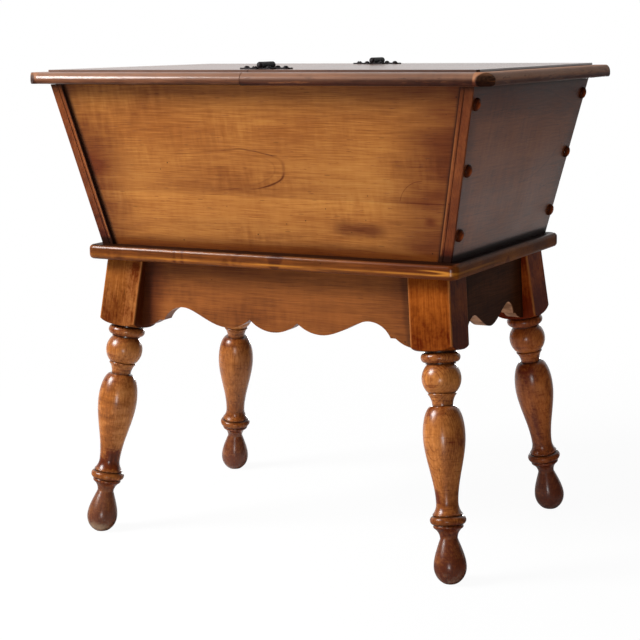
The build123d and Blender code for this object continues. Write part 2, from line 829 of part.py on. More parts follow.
# Dowels of the front right corner: two into the front apron and two into the right one
dowel_heights = [
    frame_top_z - dowel_first_drop,
    frame_top_z - dowel_first_drop - dowel_pitch,
]
with BuildPart() as corner_dowels:
    for z in dowel_heights:
        apron_y = apron_thickness / 2 - apron_face_y
        start_x = block_side_x(apron_y, z) - dowel_length / 2
        with BuildSketch(Plane(origin=(start_x, apron_y, z), x_dir=(0, 1, 0), z_dir=(1, 0, 0))):
            Circle(dowel_radius)
        extrude(amount=dowel_length)
        apron_x = apron_face_x - apron_thickness / 2
        start_y = block_back_y(apron_x, z) - dowel_length / 2
        with BuildSketch(Plane(origin=(apron_x, start_y, z), x_dir=(1, 0, 0), z_dir=(0, 1, 0))):
            Circle(dowel_radius)
        extrude(amount=dowel_length)

with BuildPart() as apron_dowels:
    add(corner_dowels.part)
    mirror(about=Plane.YZ)
    mirror(about=Plane.XZ)
apron_dowels.part.label = "apron_dowels"

# Aprons: heights along the scalloped edge
bracket_z = frame_top_z - block_length / leg_stretch + apron_lift
step_z = bracket_z + bracket_height
arch_z = frame_top_z - arch_drop
lobe_z = frame_top_z - lobe_drop
cusp_z = frame_top_z - cusp_drop
centre_z = frame_top_z - centre_drop


def draw_apron_end(step_x, lobe, arch_x, overrun):
    """From a lobe's lowest point over the arch and the bracket, then round to the middle."""
    run = arch_x - lobe[0]
    block_x = step_x + bracket_step + bracket_width
    Bezier(
        lobe,
        (lobe[0] + lobe_pull * run, lobe[1]),
        (arch_x - arch_pull * run, arch_z),
        (arch_x, arch_z),
    )
    TangentArc((arch_x, arch_z), (step_x, step_z), tangent=(1, 0))
    Line((step_x, step_z), (step_x + bracket_step, step_z))
    TangentArc((block_x, bracket_z), (step_x + bracket_step, step_z), tangent=(-1, 0))
    Polyline(
        (block_x, bracket_z),
        (overrun, bracket_z),
        (overrun, frame_top_z),
        (0, frame_top_z),
    )


with BuildPart() as front_apron:
    block_x = block_side_x(-apron_face_y, bracket_z)
    step_x = block_x - bracket_width - bracket_step
    lobe = (step_x * long_lobe_share, lobe_z)
    cusp = (step_x * long_cusp_share, cusp_z)
    with BuildSketch(Plane.XZ.offset(apron_face_y)):
        with BuildLine():
            TangentArc((0, centre_z), cusp, tangent=(1, 0))
            TangentArc(lobe, cusp, tangent=(-1, 0))
            draw_apron_end(step_x, lobe, step_x * long_arch_share, foot_x)
            mirror(about=Plane.YZ)
        make_face()
    extrude(amount=-apron_thickness)
    split(bisect_by=block_side_plane, keep=Keep.BOTTOM)
    split(bisect_by=across(block_side_plane), keep=Keep.BOTTOM)
    add(apron_dowels.part, mode=Mode.SUBTRACT)
front_apron.part.label = "front_apron"

with BuildPart() as back_apron:
    mirror(front_apron.part, about=Plane.XZ)
back_apron.part.label = "back_apron"

with BuildPart() as right_apron:
    block_y = -block_back_y(apron_face_x, bracket_z)
    step_y = block_y - bracket_width - bracket_step
    with BuildSketch(Plane.YZ.offset(apron_face_x)):
        with BuildLine():
            draw_apron_end(step_y, (0, lobe_z), step_y * short_arch_share, foot_y)
            mirror(about=Plane.YZ)
        make_face()
    extrude(amount=-apron_thickness)
    split(bisect_by=block_back_plane, keep=Keep.BOTTOM)
    split(bisect_by=behind(block_back_plane), keep=Keep.BOTTOM)
    add(apron_dowels.part, mode=Mode.SUBTRACT)
right_apron.part.label = "right_apron"

with BuildPart() as left_apron:
    mirror(right_apron.part, about=Plane.YZ)
left_apron.part.label = "left_apron"

# Heights along the leg's axis, from the floor up
upper_bead_top = block_start - neck_length
upper_bead_bottom = upper_bead_top - upper_bead_length
ball_top = upper_bead_bottom - collar_length
ball_bottom = ball_top - ball_length
ball_cut_radius = sqrt(ball_radius**2 - (ball_length / 2) ** 2)
upper_cove_top = ball_bottom - upper_lip_length
vase_top = upper_cove_top - cove_length
lower_lip_bottom = foot_length + cove_length
lower_lip_top = lower_lip_bottom + lower_lip_length
vase_bottom = lower_lip_top + lower_bead_length
vase_lip_top = vase_bottom + vase_lip_length
waist = vase_lip_top + flare_length
belly = vase_top - (vase_top - vase_bottom) * vase_belly_share
block_corner = block_size / sqrt(2) + blank_margin


def draw_bulge(seat, radius, top, bottom):
    """A bead or lip, seated at the same radius above and below."""
    ThreePointArc((seat, top), (radius, (top + bottom) / 2), (seat, bottom))


def draw_upper_turning():
    """Neck, bead, collar, ball, lip and cove, from inside the block down to the vase."""
    root = block_start + shoulder_rise
    lip_seat = upper_lip_radius - lip_round
    Polyline(
        (0, root), (neck_radius, root), (neck_radius, upper_bead_top), (upper_bead_seat, upper_bead_top)
    )
    draw_bulge(upper_bead_seat, upper_bead_radius, upper_bead_top, upper_bead_bottom)
    Polyline(
        (upper_bead_seat, upper_bead_bottom),
        (collar_radius, upper_bead_bottom),
        (collar_radius, ball_top),
        (ball_cut_radius, ball_top),
    )
    draw_bulge(ball_cut_radius, ball_radius, ball_top, ball_bottom)
    Line((ball_cut_radius, ball_bottom), (lip_seat, ball_bottom))
    draw_bulge(lip_seat, upper_lip_radius, ball_bottom, upper_cove_top)
    TangentArc((upper_cove_waist, vase_top), (lip_seat, upper_cove_top), tangent=(0, 1))
    Line((upper_cove_waist, vase_top), (vase_neck_radius, vase_top))


def draw_vase():
    """Round shoulder, long taper to a slim waist, then a hollow flare onto a lip."""
    EllipticalCenterArc(
        (vase_neck_radius, belly),
        vase_belly_radius - vase_neck_radius,
        vase_top - belly,
        arc_size=90,
    )
    pull = (belly - waist) * vase_pull
    Bezier(
        (vase_belly_radius, belly),
        (vase_belly_radius, belly - pull),
        (vase_waist_radius, waist + pull),
        (vase_waist_radius, waist),
    )
    lip_seat = vase_lip_radius - lip_round
    TangentArc((vase_waist_radius, waist), (lip_seat, vase_lip_top), tangent=(0, -1))
    draw_bulge(lip_seat, vase_lip_radius, vase_lip_top, vase_bottom)


def draw_foot():
    """Bead, lip and cove, then the pear-shaped foot with its round underside."""
    lip_seat = lower_lip_radius - lip_round
    Line((vase_lip_radius - lip_round, vase_bottom), (lower_bead_seat, vase_bottom))
    draw_bulge(lower_bead_seat, lower_bead_radius, vase_bottom, lower_lip_top)
    Line((lower_bead_seat, lower_lip_top), (lip_seat, lower_lip_top))
    draw_bulge(lip_seat, lower_lip_radius, lower_lip_top, lower_lip_bottom)
    TangentArc((foot_neck_radius, foot_length), (lip_seat, lower_lip_bottom), tangent=(0, 1))
    swell = foot_length - foot_widest
    neck_run = swell * foot_swell_pull
    Bezier(
        (foot_neck_radius, foot_length),
        (foot_neck_radius + neck_run * foot_swell_slope, foot_length - neck_run),
        (foot_radius, foot_widest + swell * foot_belly_pull),
        (foot_radius, foot_widest),
    )
    EllipticalCenterArc((0, foot_widest), foot_radius, foot_round, arc_size=-90)


# Leg: a square block with a turned underside, and the turning below it
with BuildPart() as front_right_leg:
    with BuildSketch(leg_plane.offset(block_start)):
        Rectangle(block_size, block_size)
    extrude(amount=block_length + block_size / 2)
    fillet(edges().filter_by(leg_axis), radius=block_easing)
    with BuildSketch(turning_plane):
        with BuildLine():
            Line((0, block_start), (shoulder_radius, block_start))
            TangentArc(
                (shoulder_radius, block_start), (block_corner, block_start + shoulder_rise), tangent=(1, 0)
            )
            Polyline(
                (block_corner, block_start + shoulder_rise),
                (block_corner, leg_length + block_size),
                (0, leg_length + block_size),
                (0, block_start),
            )
        make_face()
    revolve(axis=leg_axis, mode=Mode.INTERSECT)
    with BuildSketch(turning_plane):
        with BuildLine():
            draw_upper_turning()
            draw_vase()
            draw_foot()
            Line((0, foot_widest - foot_round), (0, block_start + shoulder_rise))
        make_face()
    revolve(axis=leg_axis)
    split(bisect_by=Plane.XY, keep=Keep.TOP)
    split(bisect_by=Plane.XY.offset(frame_top_z), keep=Keep.BOTTOM)
    add(corner_dowels.part, mode=Mode.SUBTRACT)

# The other corners are mirror images of the front right one
corners = {
    "front_right": (False, False),
    "front_left": (True, False),
    "back_right": (False, True),
    "back_left": (True, True),
}


def at_corner(part, is_left, is_back):
    """A piece of the front right corner, mirrored to the corner asked for."""
    if is_left:
        part = mirror(part, about=Plane.YZ)
    if is_back:
        part = mirror(part, about=Plane.XZ)
    return part


corner_pieces = []
for corner, (is_left, is_back) in corners.items():
    leg_part = at_corner(front_right_leg.part, is_left, is_back)
    brace_part = at_corner(front_right_brace.part, is_left, is_back)
    with BuildPart() as leg:
        add(leg_part)
    leg.part.label = f"{corner}_leg"
    with BuildPart() as brace:
        add(brace_part)
    brace.part.label = f"{corner}_brace"
    corner_pieces += [leg, brace]

pieces = [
    fixed_top,
    lid,
    inner_lid_batten,
    outer_lid_batten,
    lid_batten_screws,
    lid_pads,
    top_batten,
    top_batten_screws,
    front_cleat,
    back_cleat,
    end_cleat,
    cleat_top_screws,
    cleat_board_screws,
    front_board,
    back_board,
    left_end_board,
    right_end_board,
    left_end_screws,
    right_end_screws,
    left_end_buttons,
    right_end_buttons,
    platform,
    floor_screws,
    front_apron,
    back_apron,
    left_apron,
    right_apron,
    apron_dowels,
    brace_screws,
    hinge_fixed_screws,
    hinge_lid_screws,
]
pieces += hinge_pieces + corner_pieces

os.makedirs("parts", exist_ok=True)
for piece in pieces:
    export_step(piece.part, f"parts/{piece.part.label}.step")
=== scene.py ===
import math

import bmesh
import bpy
from mathutils import Matrix, Vector


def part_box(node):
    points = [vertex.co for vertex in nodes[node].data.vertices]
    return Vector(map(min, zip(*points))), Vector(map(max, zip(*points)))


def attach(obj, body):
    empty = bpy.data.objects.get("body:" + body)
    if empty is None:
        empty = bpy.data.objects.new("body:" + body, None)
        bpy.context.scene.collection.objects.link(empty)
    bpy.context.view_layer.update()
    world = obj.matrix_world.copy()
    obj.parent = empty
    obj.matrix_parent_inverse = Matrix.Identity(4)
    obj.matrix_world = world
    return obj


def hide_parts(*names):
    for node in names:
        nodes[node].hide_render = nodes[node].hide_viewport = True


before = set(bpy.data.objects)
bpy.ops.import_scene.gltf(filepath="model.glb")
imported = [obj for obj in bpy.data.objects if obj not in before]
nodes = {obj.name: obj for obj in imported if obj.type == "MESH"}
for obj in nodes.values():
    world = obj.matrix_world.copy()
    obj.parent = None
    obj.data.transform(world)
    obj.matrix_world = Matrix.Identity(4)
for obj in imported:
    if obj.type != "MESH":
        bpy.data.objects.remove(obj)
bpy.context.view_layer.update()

# Dough-box side table in stained maple. Metres throughout, +X to the right, front towards -Y.
scene = bpy.context.scene
print("frame loaded,", len(nodes), "nodes")


class Value:
    # one socket, so that shader maths reads as plain expressions
    def __init__(self, graph, socket):
        self.graph = graph
        self.socket = socket

    def maths(self, operation, *terms):
        return self.graph.node("ShaderNodeMath", {"operation": operation}, terms)

    def __add__(self, other):
        return self.maths("ADD", self, other)

    def __sub__(self, other):
        return self.maths("SUBTRACT", self, other)

    def __mul__(self, other):
        return self.maths("MULTIPLY", self, other)

    def __truediv__(self, other):
        return self.maths("DIVIDE", self, other)

    def __pow__(self, other):
        return self.maths("POWER", self, other)

    def __neg__(self):
        return self.maths("MULTIPLY", self, -1.0)

    def __radd__(self, other):
        return self.maths("ADD", other, self)

    def __rsub__(self, other):
        return self.maths("SUBTRACT", other, self)

    def __rmul__(self, other):
        return self.maths("MULTIPLY", other, self)

    def __rtruediv__(self, other):
        return self.maths("DIVIDE", other, self)

    def least(self, other):
        return self.maths("MINIMUM", self, other)

    def most(self, other):
        return self.maths("MAXIMUM", self, other)

    def size(self):
        return self.maths("ABSOLUTE", self)

    def root(self):
        return self.maths("SQRT", self.most(0.0))

    def fraction(self):
        return self.maths("FRACT", self)

    def clamped(self):
        return self.least(1.0).most(0.0)

    def rise(self, start, end):
        # 0 before start, 1 after end, smooth between; start may be above end
        return self.graph.node(
            "ShaderNodeMapRange",
            {"interpolation_type": "SMOOTHSTEP"},
            {"Value": self, "From Min": start, "From Max": end},
        )

    def bump(self, middle, width):
        # 1 at the middle, 0 at a width either side of it
        return (self - middle).size().rise(width, 0.0)


class Graph:
    def __init__(self, tree):
        tree.nodes.clear()
        self.tree = tree

    def node(self, kind, settings=None, inputs=(), output=0):
        # settings go on the node first; inputs are values or links, by place or by name
        made = self.tree.nodes.new(kind)
        for key, setting in (settings or {}).items():
            if key == "stops":
                self.setStops(made.color_ramp, setting)
            else:
                setattr(made, key, setting)
        pairs = inputs.items() if isinstance(inputs, dict) else enumerate(inputs)
        for key, given in pairs:
            if isinstance(given, Value):
                self.tree.links.new(given.socket, made.inputs[key])
            else:
                made.inputs[key].default_value = given
        return Value(self, made.outputs[output]) if made.outputs else None

    def setStops(self, ramp, stops):
        while len(ramp.elements) < len(stops):
            ramp.elements.new(0.5)
        for element, (position, colour) in zip(ramp.elements, stops):
            element.position = position
            element.color = colour

    def vector(self, x, y, z):
        return self.node("ShaderNodeCombineXYZ", None, (x, y, z))

    def parts(self, vector):
        return [self.node("ShaderNodeSeparateXYZ", None, (vector,), axis) for axis in range(3)]

    def shifted(self, vector, offset):
        return self.node("ShaderNodeVectorMath", {"operation": "ADD"}, (vector, offset))

    def scaled(self, vector, factors):
        return self.node("ShaderNodeVectorMath", {"operation": "MULTIPLY"}, (vector, factors))

    def noise(self, vector, factors, detail=2.0, roughness=0.5):
        # factors are how many waves there are to a metre, along each axis
        inputs = {
            "Vector": self.scaled(vector, factors),
            "Scale": 1.0,
            "Detail": detail,
            "Roughness": roughness,
        }
        return self.node("ShaderNodeTexNoise", {"noise_dimensions": "3D"}, inputs)

    def cells(self, vector, factors, randomness=1.0):
        # distance to the nearest of the scattered points
        inputs = {"Vector": self.scaled(vector, factors), "Scale": 1.0, "Randomness": randomness}
        return self.node("ShaderNodeTexVoronoi", {"feature": "F1"}, inputs, "Distance")

    def ramp(self, factor, stops):
        return self.node("ShaderNodeValToRGB", {"stops": stops}, (factor,))

    def mix(self, factor, under, over, blend="MIX"):
        settings = {"data_type": "RGBA", "blend_type": blend, "clamp_factor": True}
        return self.node("ShaderNodeMix", settings, {0: factor, 6: under, 7: over}, 2)


def paint(code):
    # "b07a3f" as written on screen, to the linear colour that shaders use
    channels = [int(code[i:i + 2], 16) / 255 for i in (0, 2, 4)]
    linear = [c / 12.92 if c <= 0.04045 else ((c + 0.055) / 1.055) ** 2.4 for c in channels]
    return (*linear, 1.0)


def newMaterial(name):
    material = bpy.data.materials.new(name)
    material.use_nodes = True
    return material, Graph(material.node_tree)


def finish(graph, colour, roughness, height, depth, others):
    # depth is how deep the bump goes, in metres; others are more sockets of the shader
    bump = graph.node("ShaderNodeBump", None, {"Strength": 1.0, "Distance": depth, "Height": height})
    sockets = {"Base Color": colour, "Roughness": roughness, "Normal": bump, **others}
    surface = graph.node("ShaderNodeBsdfPrincipled", None, sockets)
    graph.node("ShaderNodeOutputMaterial", None, {"Surface": surface})


def dress(names, material):
    for name in names:
        for slot in nodes[name].material_slots:
            slot.material = material


view = {
    "location": (0.9498, -1.8495, 0.6220),
    "towards": (0.0410, -0.1007, 0.2820),
    "roll": -0.63,
    "lens": 92.52,
    "sensor": 36.0,
}

cameraData = bpy.data.cameras.new("viewCamera")
cameraData.lens = view["lens"]
cameraData.sensor_width = view["sensor"]
cameraData.clip_end = 60.0
camera = bpy.data.objects.new("viewCamera", cameraData)
camera.location = view["location"]
sightLine = Vector(view["towards"]) - Vector(view["location"])
turn = sightLine.to_track_quat("-Z", "Y").to_matrix()
camera.rotation_euler = (turn @ Matrix.Rotation(math.radians(view["roll"]), 3, "Z")).to_euler()
scene.collection.objects.link(camera)
scene.camera = camera
print("camera placed")


# The bin, measured from the CAD boards
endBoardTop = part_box("right_end_board")[1]
binShape = {
    "topEdge": endBoardTop.z,
    "floor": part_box("platform")[1].z,
    "endFace": endBoardTop.x,  # end boards' outer face at the top edge
    "sideFace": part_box("back_board")[1].y,  # front and back boards' outer face at the top edge
    "edge": endBoardTop.y,  # end boards' edges, which run past the front and back boards
    "endSlope": math.tan(math.radians(12.0)),
    "sideSlope": math.tan(math.radians(11.2)),
    "thickness": 0.016,
}

mapleTones = {
    "dark": "5c2c0d",
    "low": "874c1a",
    "mid": "ab6e2f",
    "high": "c69149",
    "toner": "8f6650",  # what a full coat of toner lets through
    # near-black for glaze residue and for painted shade
    "darkGlazeAndShade": "220e07",
    "speck": "1a0c06",
}
# how strong each kind of figure is; a piece's own look may change any of them
mapleGrain = {
    "wander": 0.010,
    "fibre": 0.44,
    "thread": 0.16,
    "band": 0.24,
    "cloud": 0.42,
    "curl": 0.22,
    "ticks": 0.22,
    "speckSize": 0.050,
    "dashes": 0.35,
}
sheen = {"roughness": 0.44, "ripple": 0.16, "coat": 0.34, "coatRoughness": 0.22, "specular": 0.14}
lacquerIndex = 1.45
bumpDepth = 0.00035


def mapleColour(graph, place, look):
    # place is (along the grain, across it, depth), in metres
    tones = {**mapleTones, **look.get("tones", {})}
    grain = {**mapleGrain, **look}
    along, across, depth = graph.parts(graph.shifted(place, look["offset"]))
    wobble = graph.noise(graph.vector(along, across, depth), (4.0, 12.0, 12.0), 2.0) - 0.5
    across = across + wobble * grain["wander"]
    spot = graph.vector(along, across, depth)

    fibre = graph.noise(spot, (26.0, 900.0, 900.0), 2.0, 0.6) - 0.5
    thread = graph.noise(spot, (20.0, 430.0, 430.0), 2.0, 0.6) - 0.5
    band = graph.noise(spot, (1.5, 52.0, 52.0), 3.0, 0.55) - 0.5
    cloud = graph.noise(spot, (5.0, 13.0, 13.0), 2.0, 0.5) - 0.5
    curl = graph.noise(spot, (135.0, 36.0, 36.0), 2.0, 0.5) - 0.5
    curlPatch = graph.noise(spot, (7.0, 17.0, 17.0), 0.0).rise(0.46, 0.66) + 0.35
    tone = (
        0.5
        + fibre * grain["fibre"]
        + thread * grain["thread"]
        + band * grain["band"]
        + cloud * grain["cloud"]
        + curl * curlPatch * grain["curl"]
    )
    rings = look.get("rings")
    if rings:
        # growth rings as shells round a heart line that ends in a rounded tip
        past = ((along - rings["tip"]) * rings["lead"]).most(0.0)
        off = across - rings["heart"]
        shell = (past * past + off * off + rings["bow"] ** 2).root()
        shell = shell + (graph.noise(spot, (16.0, 30.0, 30.0), 2.0) - 0.5) * rings["wobble"]
        line = ((shell / rings["spacing"]).fraction() - 0.5).size() * 2.0
        line = line.rise(1.0 - rings["width"], 1.0)
        patch = graph.noise(spot, (9.0, 26.0, 26.0), 1.0).rise(0.40, 0.62)
        tone = tone - line * (0.2 + 0.8 * patch) * rings["strength"]
    ticks = graph.noise(spot, (70.0, 1250.0, 1250.0), 1.0).rise(0.68, 0.77)
    tone = tone - ticks * grain["ticks"]
    stops = [
        (0.12, paint(tones["dark"])),
        (0.38, paint(tones["low"])),
        (0.56, paint(tones["mid"])),
        (0.84, paint(tones["high"])),
    ]
    height = fibre * 0.6 - ticks * 0.8 + thread * 0.3
    return graph.ramp(tone, stops), cloud, height, spot


def addSpecks(graph, colour, spot, look):
    # dark flecks of the distressed finish, from pinpoints to small dashes
    grain = {**mapleGrain, **look}
    size = grain["speckSize"]
    dots = graph.cells(spot, (44.0, 44.0, 44.0)).rise(size, size * 0.4)
    dashes = graph.cells(graph.shifted(spot, (0.3, 0.1, 0.2)), (18.0, 110.0, 110.0)).rise(0.09, 0.05)
    amount = (dots * 0.85).most(dashes * grain["dashes"])
    return graph.mix(amount, colour, paint(mapleTones["speck"]))


def toned(graph, colour, amount):
    # brown toner over the stain, full where amount is 1
    full = graph.mix(1.0, colour, paint(mapleTones["toner"]), "MULTIPLY")
    return graph.mix(amount.clamped(), colour, full)


def darkenWithGlazeAndShade(graph, colour, amount):
    # dark glaze left in corners and grooves, and painted shade in corners, recesses and between parts
    return graph.mix(amount.clamped(), colour, paint(mapleTones["darkGlazeAndShade"]))


def finishMaple(graph, colour, cloud, height, spot, gloss, lacquer=None):
    # lacquer is 1 where the full coat stands and less where it is worn or dirty
    ripple = graph.noise(spot, (70.0, 90.0, 90.0), 1.0)
    roughness = (gloss["roughness"] + cloud * 0.16).clamped()
    coat = gloss["coat"] if lacquer is None else lacquer.clamped() * gloss["coat"]
    finish(graph, colour, roughness, height * 0.30 + ripple * gloss["ripple"], bumpDepth, {
        "Coat Weight": coat,
        "Coat Roughness": gloss["coatRoughness"],
        "Coat IOR": lacquerIndex,
        "IOR": lacquerIndex,
        "Specular IOR Level": gloss["specular"],
    })


def objectPlace(graph):
    return graph.node("ShaderNodeTexCoord", None, (), "Object")


def patchy(graph, spot, factors, low=0.55, high=1.45):
    return graph.noise(spot, factors, 2.0, 0.5).rise(0.30, 0.70) * (high - low) + low


# Toner on the front and back boards, with glaze and painted shade in the corners against the end boards:
# how far in they reach, and how strong they are
boardShade = {
    "lightEndReach": 0.072,
    "lightEnd": 0.74,
    "heavyEndReach": 0.105,
    "heavyEnd": 0.92,
    "rimReach": 0.054,
    "rim": 0.42,
    "rimAtEnd": 0.40,
    "footReach": 0.022,
    "foot": 0.9,
    "cornerGlazeAndShadeReach": 0.0088,
    "cornerGlazeAndShade": 0.90,
}


def makeLongBoard(name, look, marks=None):
    # front or back board: grain along X
    material, graph = newMaterial(name)
    x, y, z = graph.parts(objectPlace(graph))
    colour, cloud, height, spot = mapleColour(graph, graph.vector(x, z, y), look)
    drop = binShape["topEdge"] - z
    toEnd = binShape["endFace"] - binShape["thickness"] - drop * binShape["endSlope"] - x.size()
    uneven = patchy(graph, spot, (9.0, 30.0, 30.0), 0.76, 1.12)
    streak = (graph.noise(spot, (5.0, 120.0, 120.0), 3.0, 0.6) - 0.5) * 0.034
    lightEnd = (toEnd + streak).rise(boardShade["lightEndReach"], 0.0) * boardShade["lightEnd"]
    heavyEnd = (toEnd + streak).rise(boardShade["heavyEndReach"], 0.004) * boardShade["heavyEnd"]
    side = (x * look["heavySide"]).rise(-0.05, 0.05)
    towardsEnd = (x * look["heavySide"]).rise(0.08, 0.23)
    shade = ((lightEnd + (heavyEnd - lightEnd) * side) * uneven).least(0.90)
    rim = boardShade["rim"] + towardsEnd * boardShade["rimAtEnd"]
    shade = shade.most(drop.rise(boardShade["rimReach"], 0.002) * rim)
    shade = shade.most((z - binShape["floor"]).rise(boardShade["footReach"], 0.003) * boardShade["foot"])

    # the board is glued up from two widths, the upper one a little darker
    overSeam = z - look["seam"] + x * look["seamTilt"]
    shade = shade + overSeam.bump(0.0, 0.0011) * 0.26 * x.rise(-0.20, 0.05)
    upperWidth = 0.13 + overSeam.rise(0.045, 0.005) * 0.12
    seamStep = overSeam.rise(-0.0006, 0.0006) * upperWidth * drop.rise(0.02, 0.10)
    shade = shade + seamStep * (1.0 - towardsEnd * 0.9)
    ragged = (graph.noise(spot, (45.0, 90.0, 90.0), 2.0) - 0.5) * 1.1
    for markX, markZ, wide, tall, strength in look["smudges"]:
        reach = (((x - markX) / wide) ** 2.0 + ((z - markZ) / tall) ** 2.0).root()
        shade = shade + (reach + ragged * 0.7).rise(1.35, 0.0) * strength * (1.0 - shade.clamped() * 0.6)
    if marks:
        shade = shade + marks(graph, x, z, spot)
    colour = toned(graph, colour, shade)
    # glaze and painted shadow in the corners where the end boards' edges stand proud, strongest on the
    # left
    cornerGlazeAndShadeReach = boardShade["cornerGlazeAndShadeReach"] - side * 0.0038
    colour = darkenWithGlazeAndShade(graph, colour, toEnd.rise(cornerGlazeAndShadeReach, 0.0010) * (boardShade["cornerGlazeAndShade"] - side * 0.30))
    colour = addSpecks(graph, colour, spot, look)
    finishMaple(graph, colour, cloud, height, spot, sheen)
    return material


# What makes the front board's figure its own: places on the board and sizes, in metres
frontFigure = {
    "tongueX": -0.0180,  # where the growth ring starts to turn back
    "tongueZ": 0.4680,
    "tongueLength": 2.2,  # the round end is an oval, this much longer than high
    "ring": 0.0226,
    "innerRing": 0.0165,
    "dashX": -0.049,
    "dashZ": 0.4695,
    "curlX": -0.074,
    "curlZ": 0.5070,
    "scratchX": 0.2080,  # centre of the arc that the scratch follows
    "scratchZ": 0.4308,
    "scratchRadius": 0.0306,
    "scratchFoot": 0.4360,
}


def frontMarks(graph, x, z, spot):
    # tongue-shaped growth ring, a dash inside it, curly figure above it and a hairline scratch
    mark = frontFigure
    sway = (graph.noise(spot, (16.0, 24.0, 24.0), 2.0) - 0.5) * 0.013
    past = (x - mark["tongueX"]).most(0.0) / mark["tongueLength"]
    off = z - mark["tongueZ"] - (x - mark["tongueX"]).least(0.0) * 0.05
    ring = (past * past + off * off).root() + sway
    line = ring.bump(mark["ring"], 0.0015)
    inner = ring.bump(mark["innerRing"], 0.0012) * x.rise(-0.05, 0.0) * 0.25
    upper = off.rise(-0.005, 0.005)
    reach = upper * (x.rise(-0.190, 0.010) * 0.72 + 0.12) + (1.0 - upper) * x.rise(-0.080, 0.005)
    broken = graph.noise(spot, (30.0, 34.0, 34.0), 2.0).rise(0.36, 0.56) * 0.7 + 0.3
    dash = (z - mark["dashZ"] + x * 0.02).size().rise(0.0016, 0.0002)
    dash = dash * (x - mark["dashX"]).size().rise(0.022, 0.006)
    line = line.most(dash * 0.6)
    figure = graph.noise(spot, (185.0, 26.0, 26.0), 2.0) - 0.5
    figurePatch = z.bump(mark["curlZ"], 0.0190) * (x - mark["curlX"]).size().rise(0.080, 0.03)
    away = ((x - mark["scratchX"]) ** 2.0 + (z - mark["scratchZ"]) ** 2.0).root()
    scratch = away.bump(mark["scratchRadius"], 0.0007)
    scratch = scratch * x.rise(mark["scratchX"], mark["scratchX"] - 0.0020)
    scratch = scratch * z.rise(mark["scratchFoot"], mark["scratchFoot"] + 0.0030)
    return (line + inner) * reach * broken * 0.80 + figure * figurePatch * 0.85 + scratch * 0.40


frontLook = {
    "offset": (0.0, 0.0, 0.0),
    "fibre": 0.40,
    "thread": 0.13,
    "heavySide": 1.0,
    "seam": 0.4365,
    "seamTilt": 0.004,
    # x, z, width, tallness and strength of darker places
    "smudges": ((0.108, 0.4030, 0.022, 0.0110, 0.68), (0.136, 0.4010, 0.026, 0.0100, 0.78),
                (0.2136, 0.4152, 0.008, 0.0060, 0.50), (-0.190, 0.5250, 0.050, 0.0200, 0.20),
                (0.020, 0.3890, 0.070, 0.0060, 0.22), (-0.202, 0.4820, 0.050, 0.0280, 0.34),
                (-0.060, 0.3990, 0.150, 0.0125, 0.24), (-0.236, 0.4625, 0.022, 0.0130, 0.45)),
}
backLook = {
    "offset": (1.7, 0.4, 0.9),
    "heavySide": -1.0,
    "seam": 0.4710,
    "seamTilt": 0.004,
    "rings": {"tip": 1.75, "lead": 0.45, "heart": 0.862, "bow": 0.004, "spacing": 0.017,
              "wobble": 0.008, "width": 0.10, "strength": 0.22},
    "smudges": ((-0.120, 0.4100, 0.030, 0.0120, 0.45), (0.080, 0.5150, 0.022, 0.0090, 0.40)),
}
dress(["front_board"], makeLongBoard("mapleFrontBoard", frontLook, frontMarks))
dress(["back_board"], makeLongBoard("mapleBackBoard", backLook))


endShade = {
    "rimReach": 0.060,
    "rim": 0.85,
    "edgeReach": 0.040,
    "edge": 0.60,
    "footReach": 0.022,
    "foot": 0.9,
    "bead": 0.0106,  # the bead line in the edges, from the outer face
    "beadWidth": 0.0011,
    "wornAndLitLine": 0.0142,
    "footShadowReach": 0.0115,  # how far painted shadow reaches up from the platform
    "headShadowReach": 0.0075,  # and down from the top
    # colour of the lighter line along the edges: painted highlight, partly rub-through
    "rubbed": "ad6c38",
}


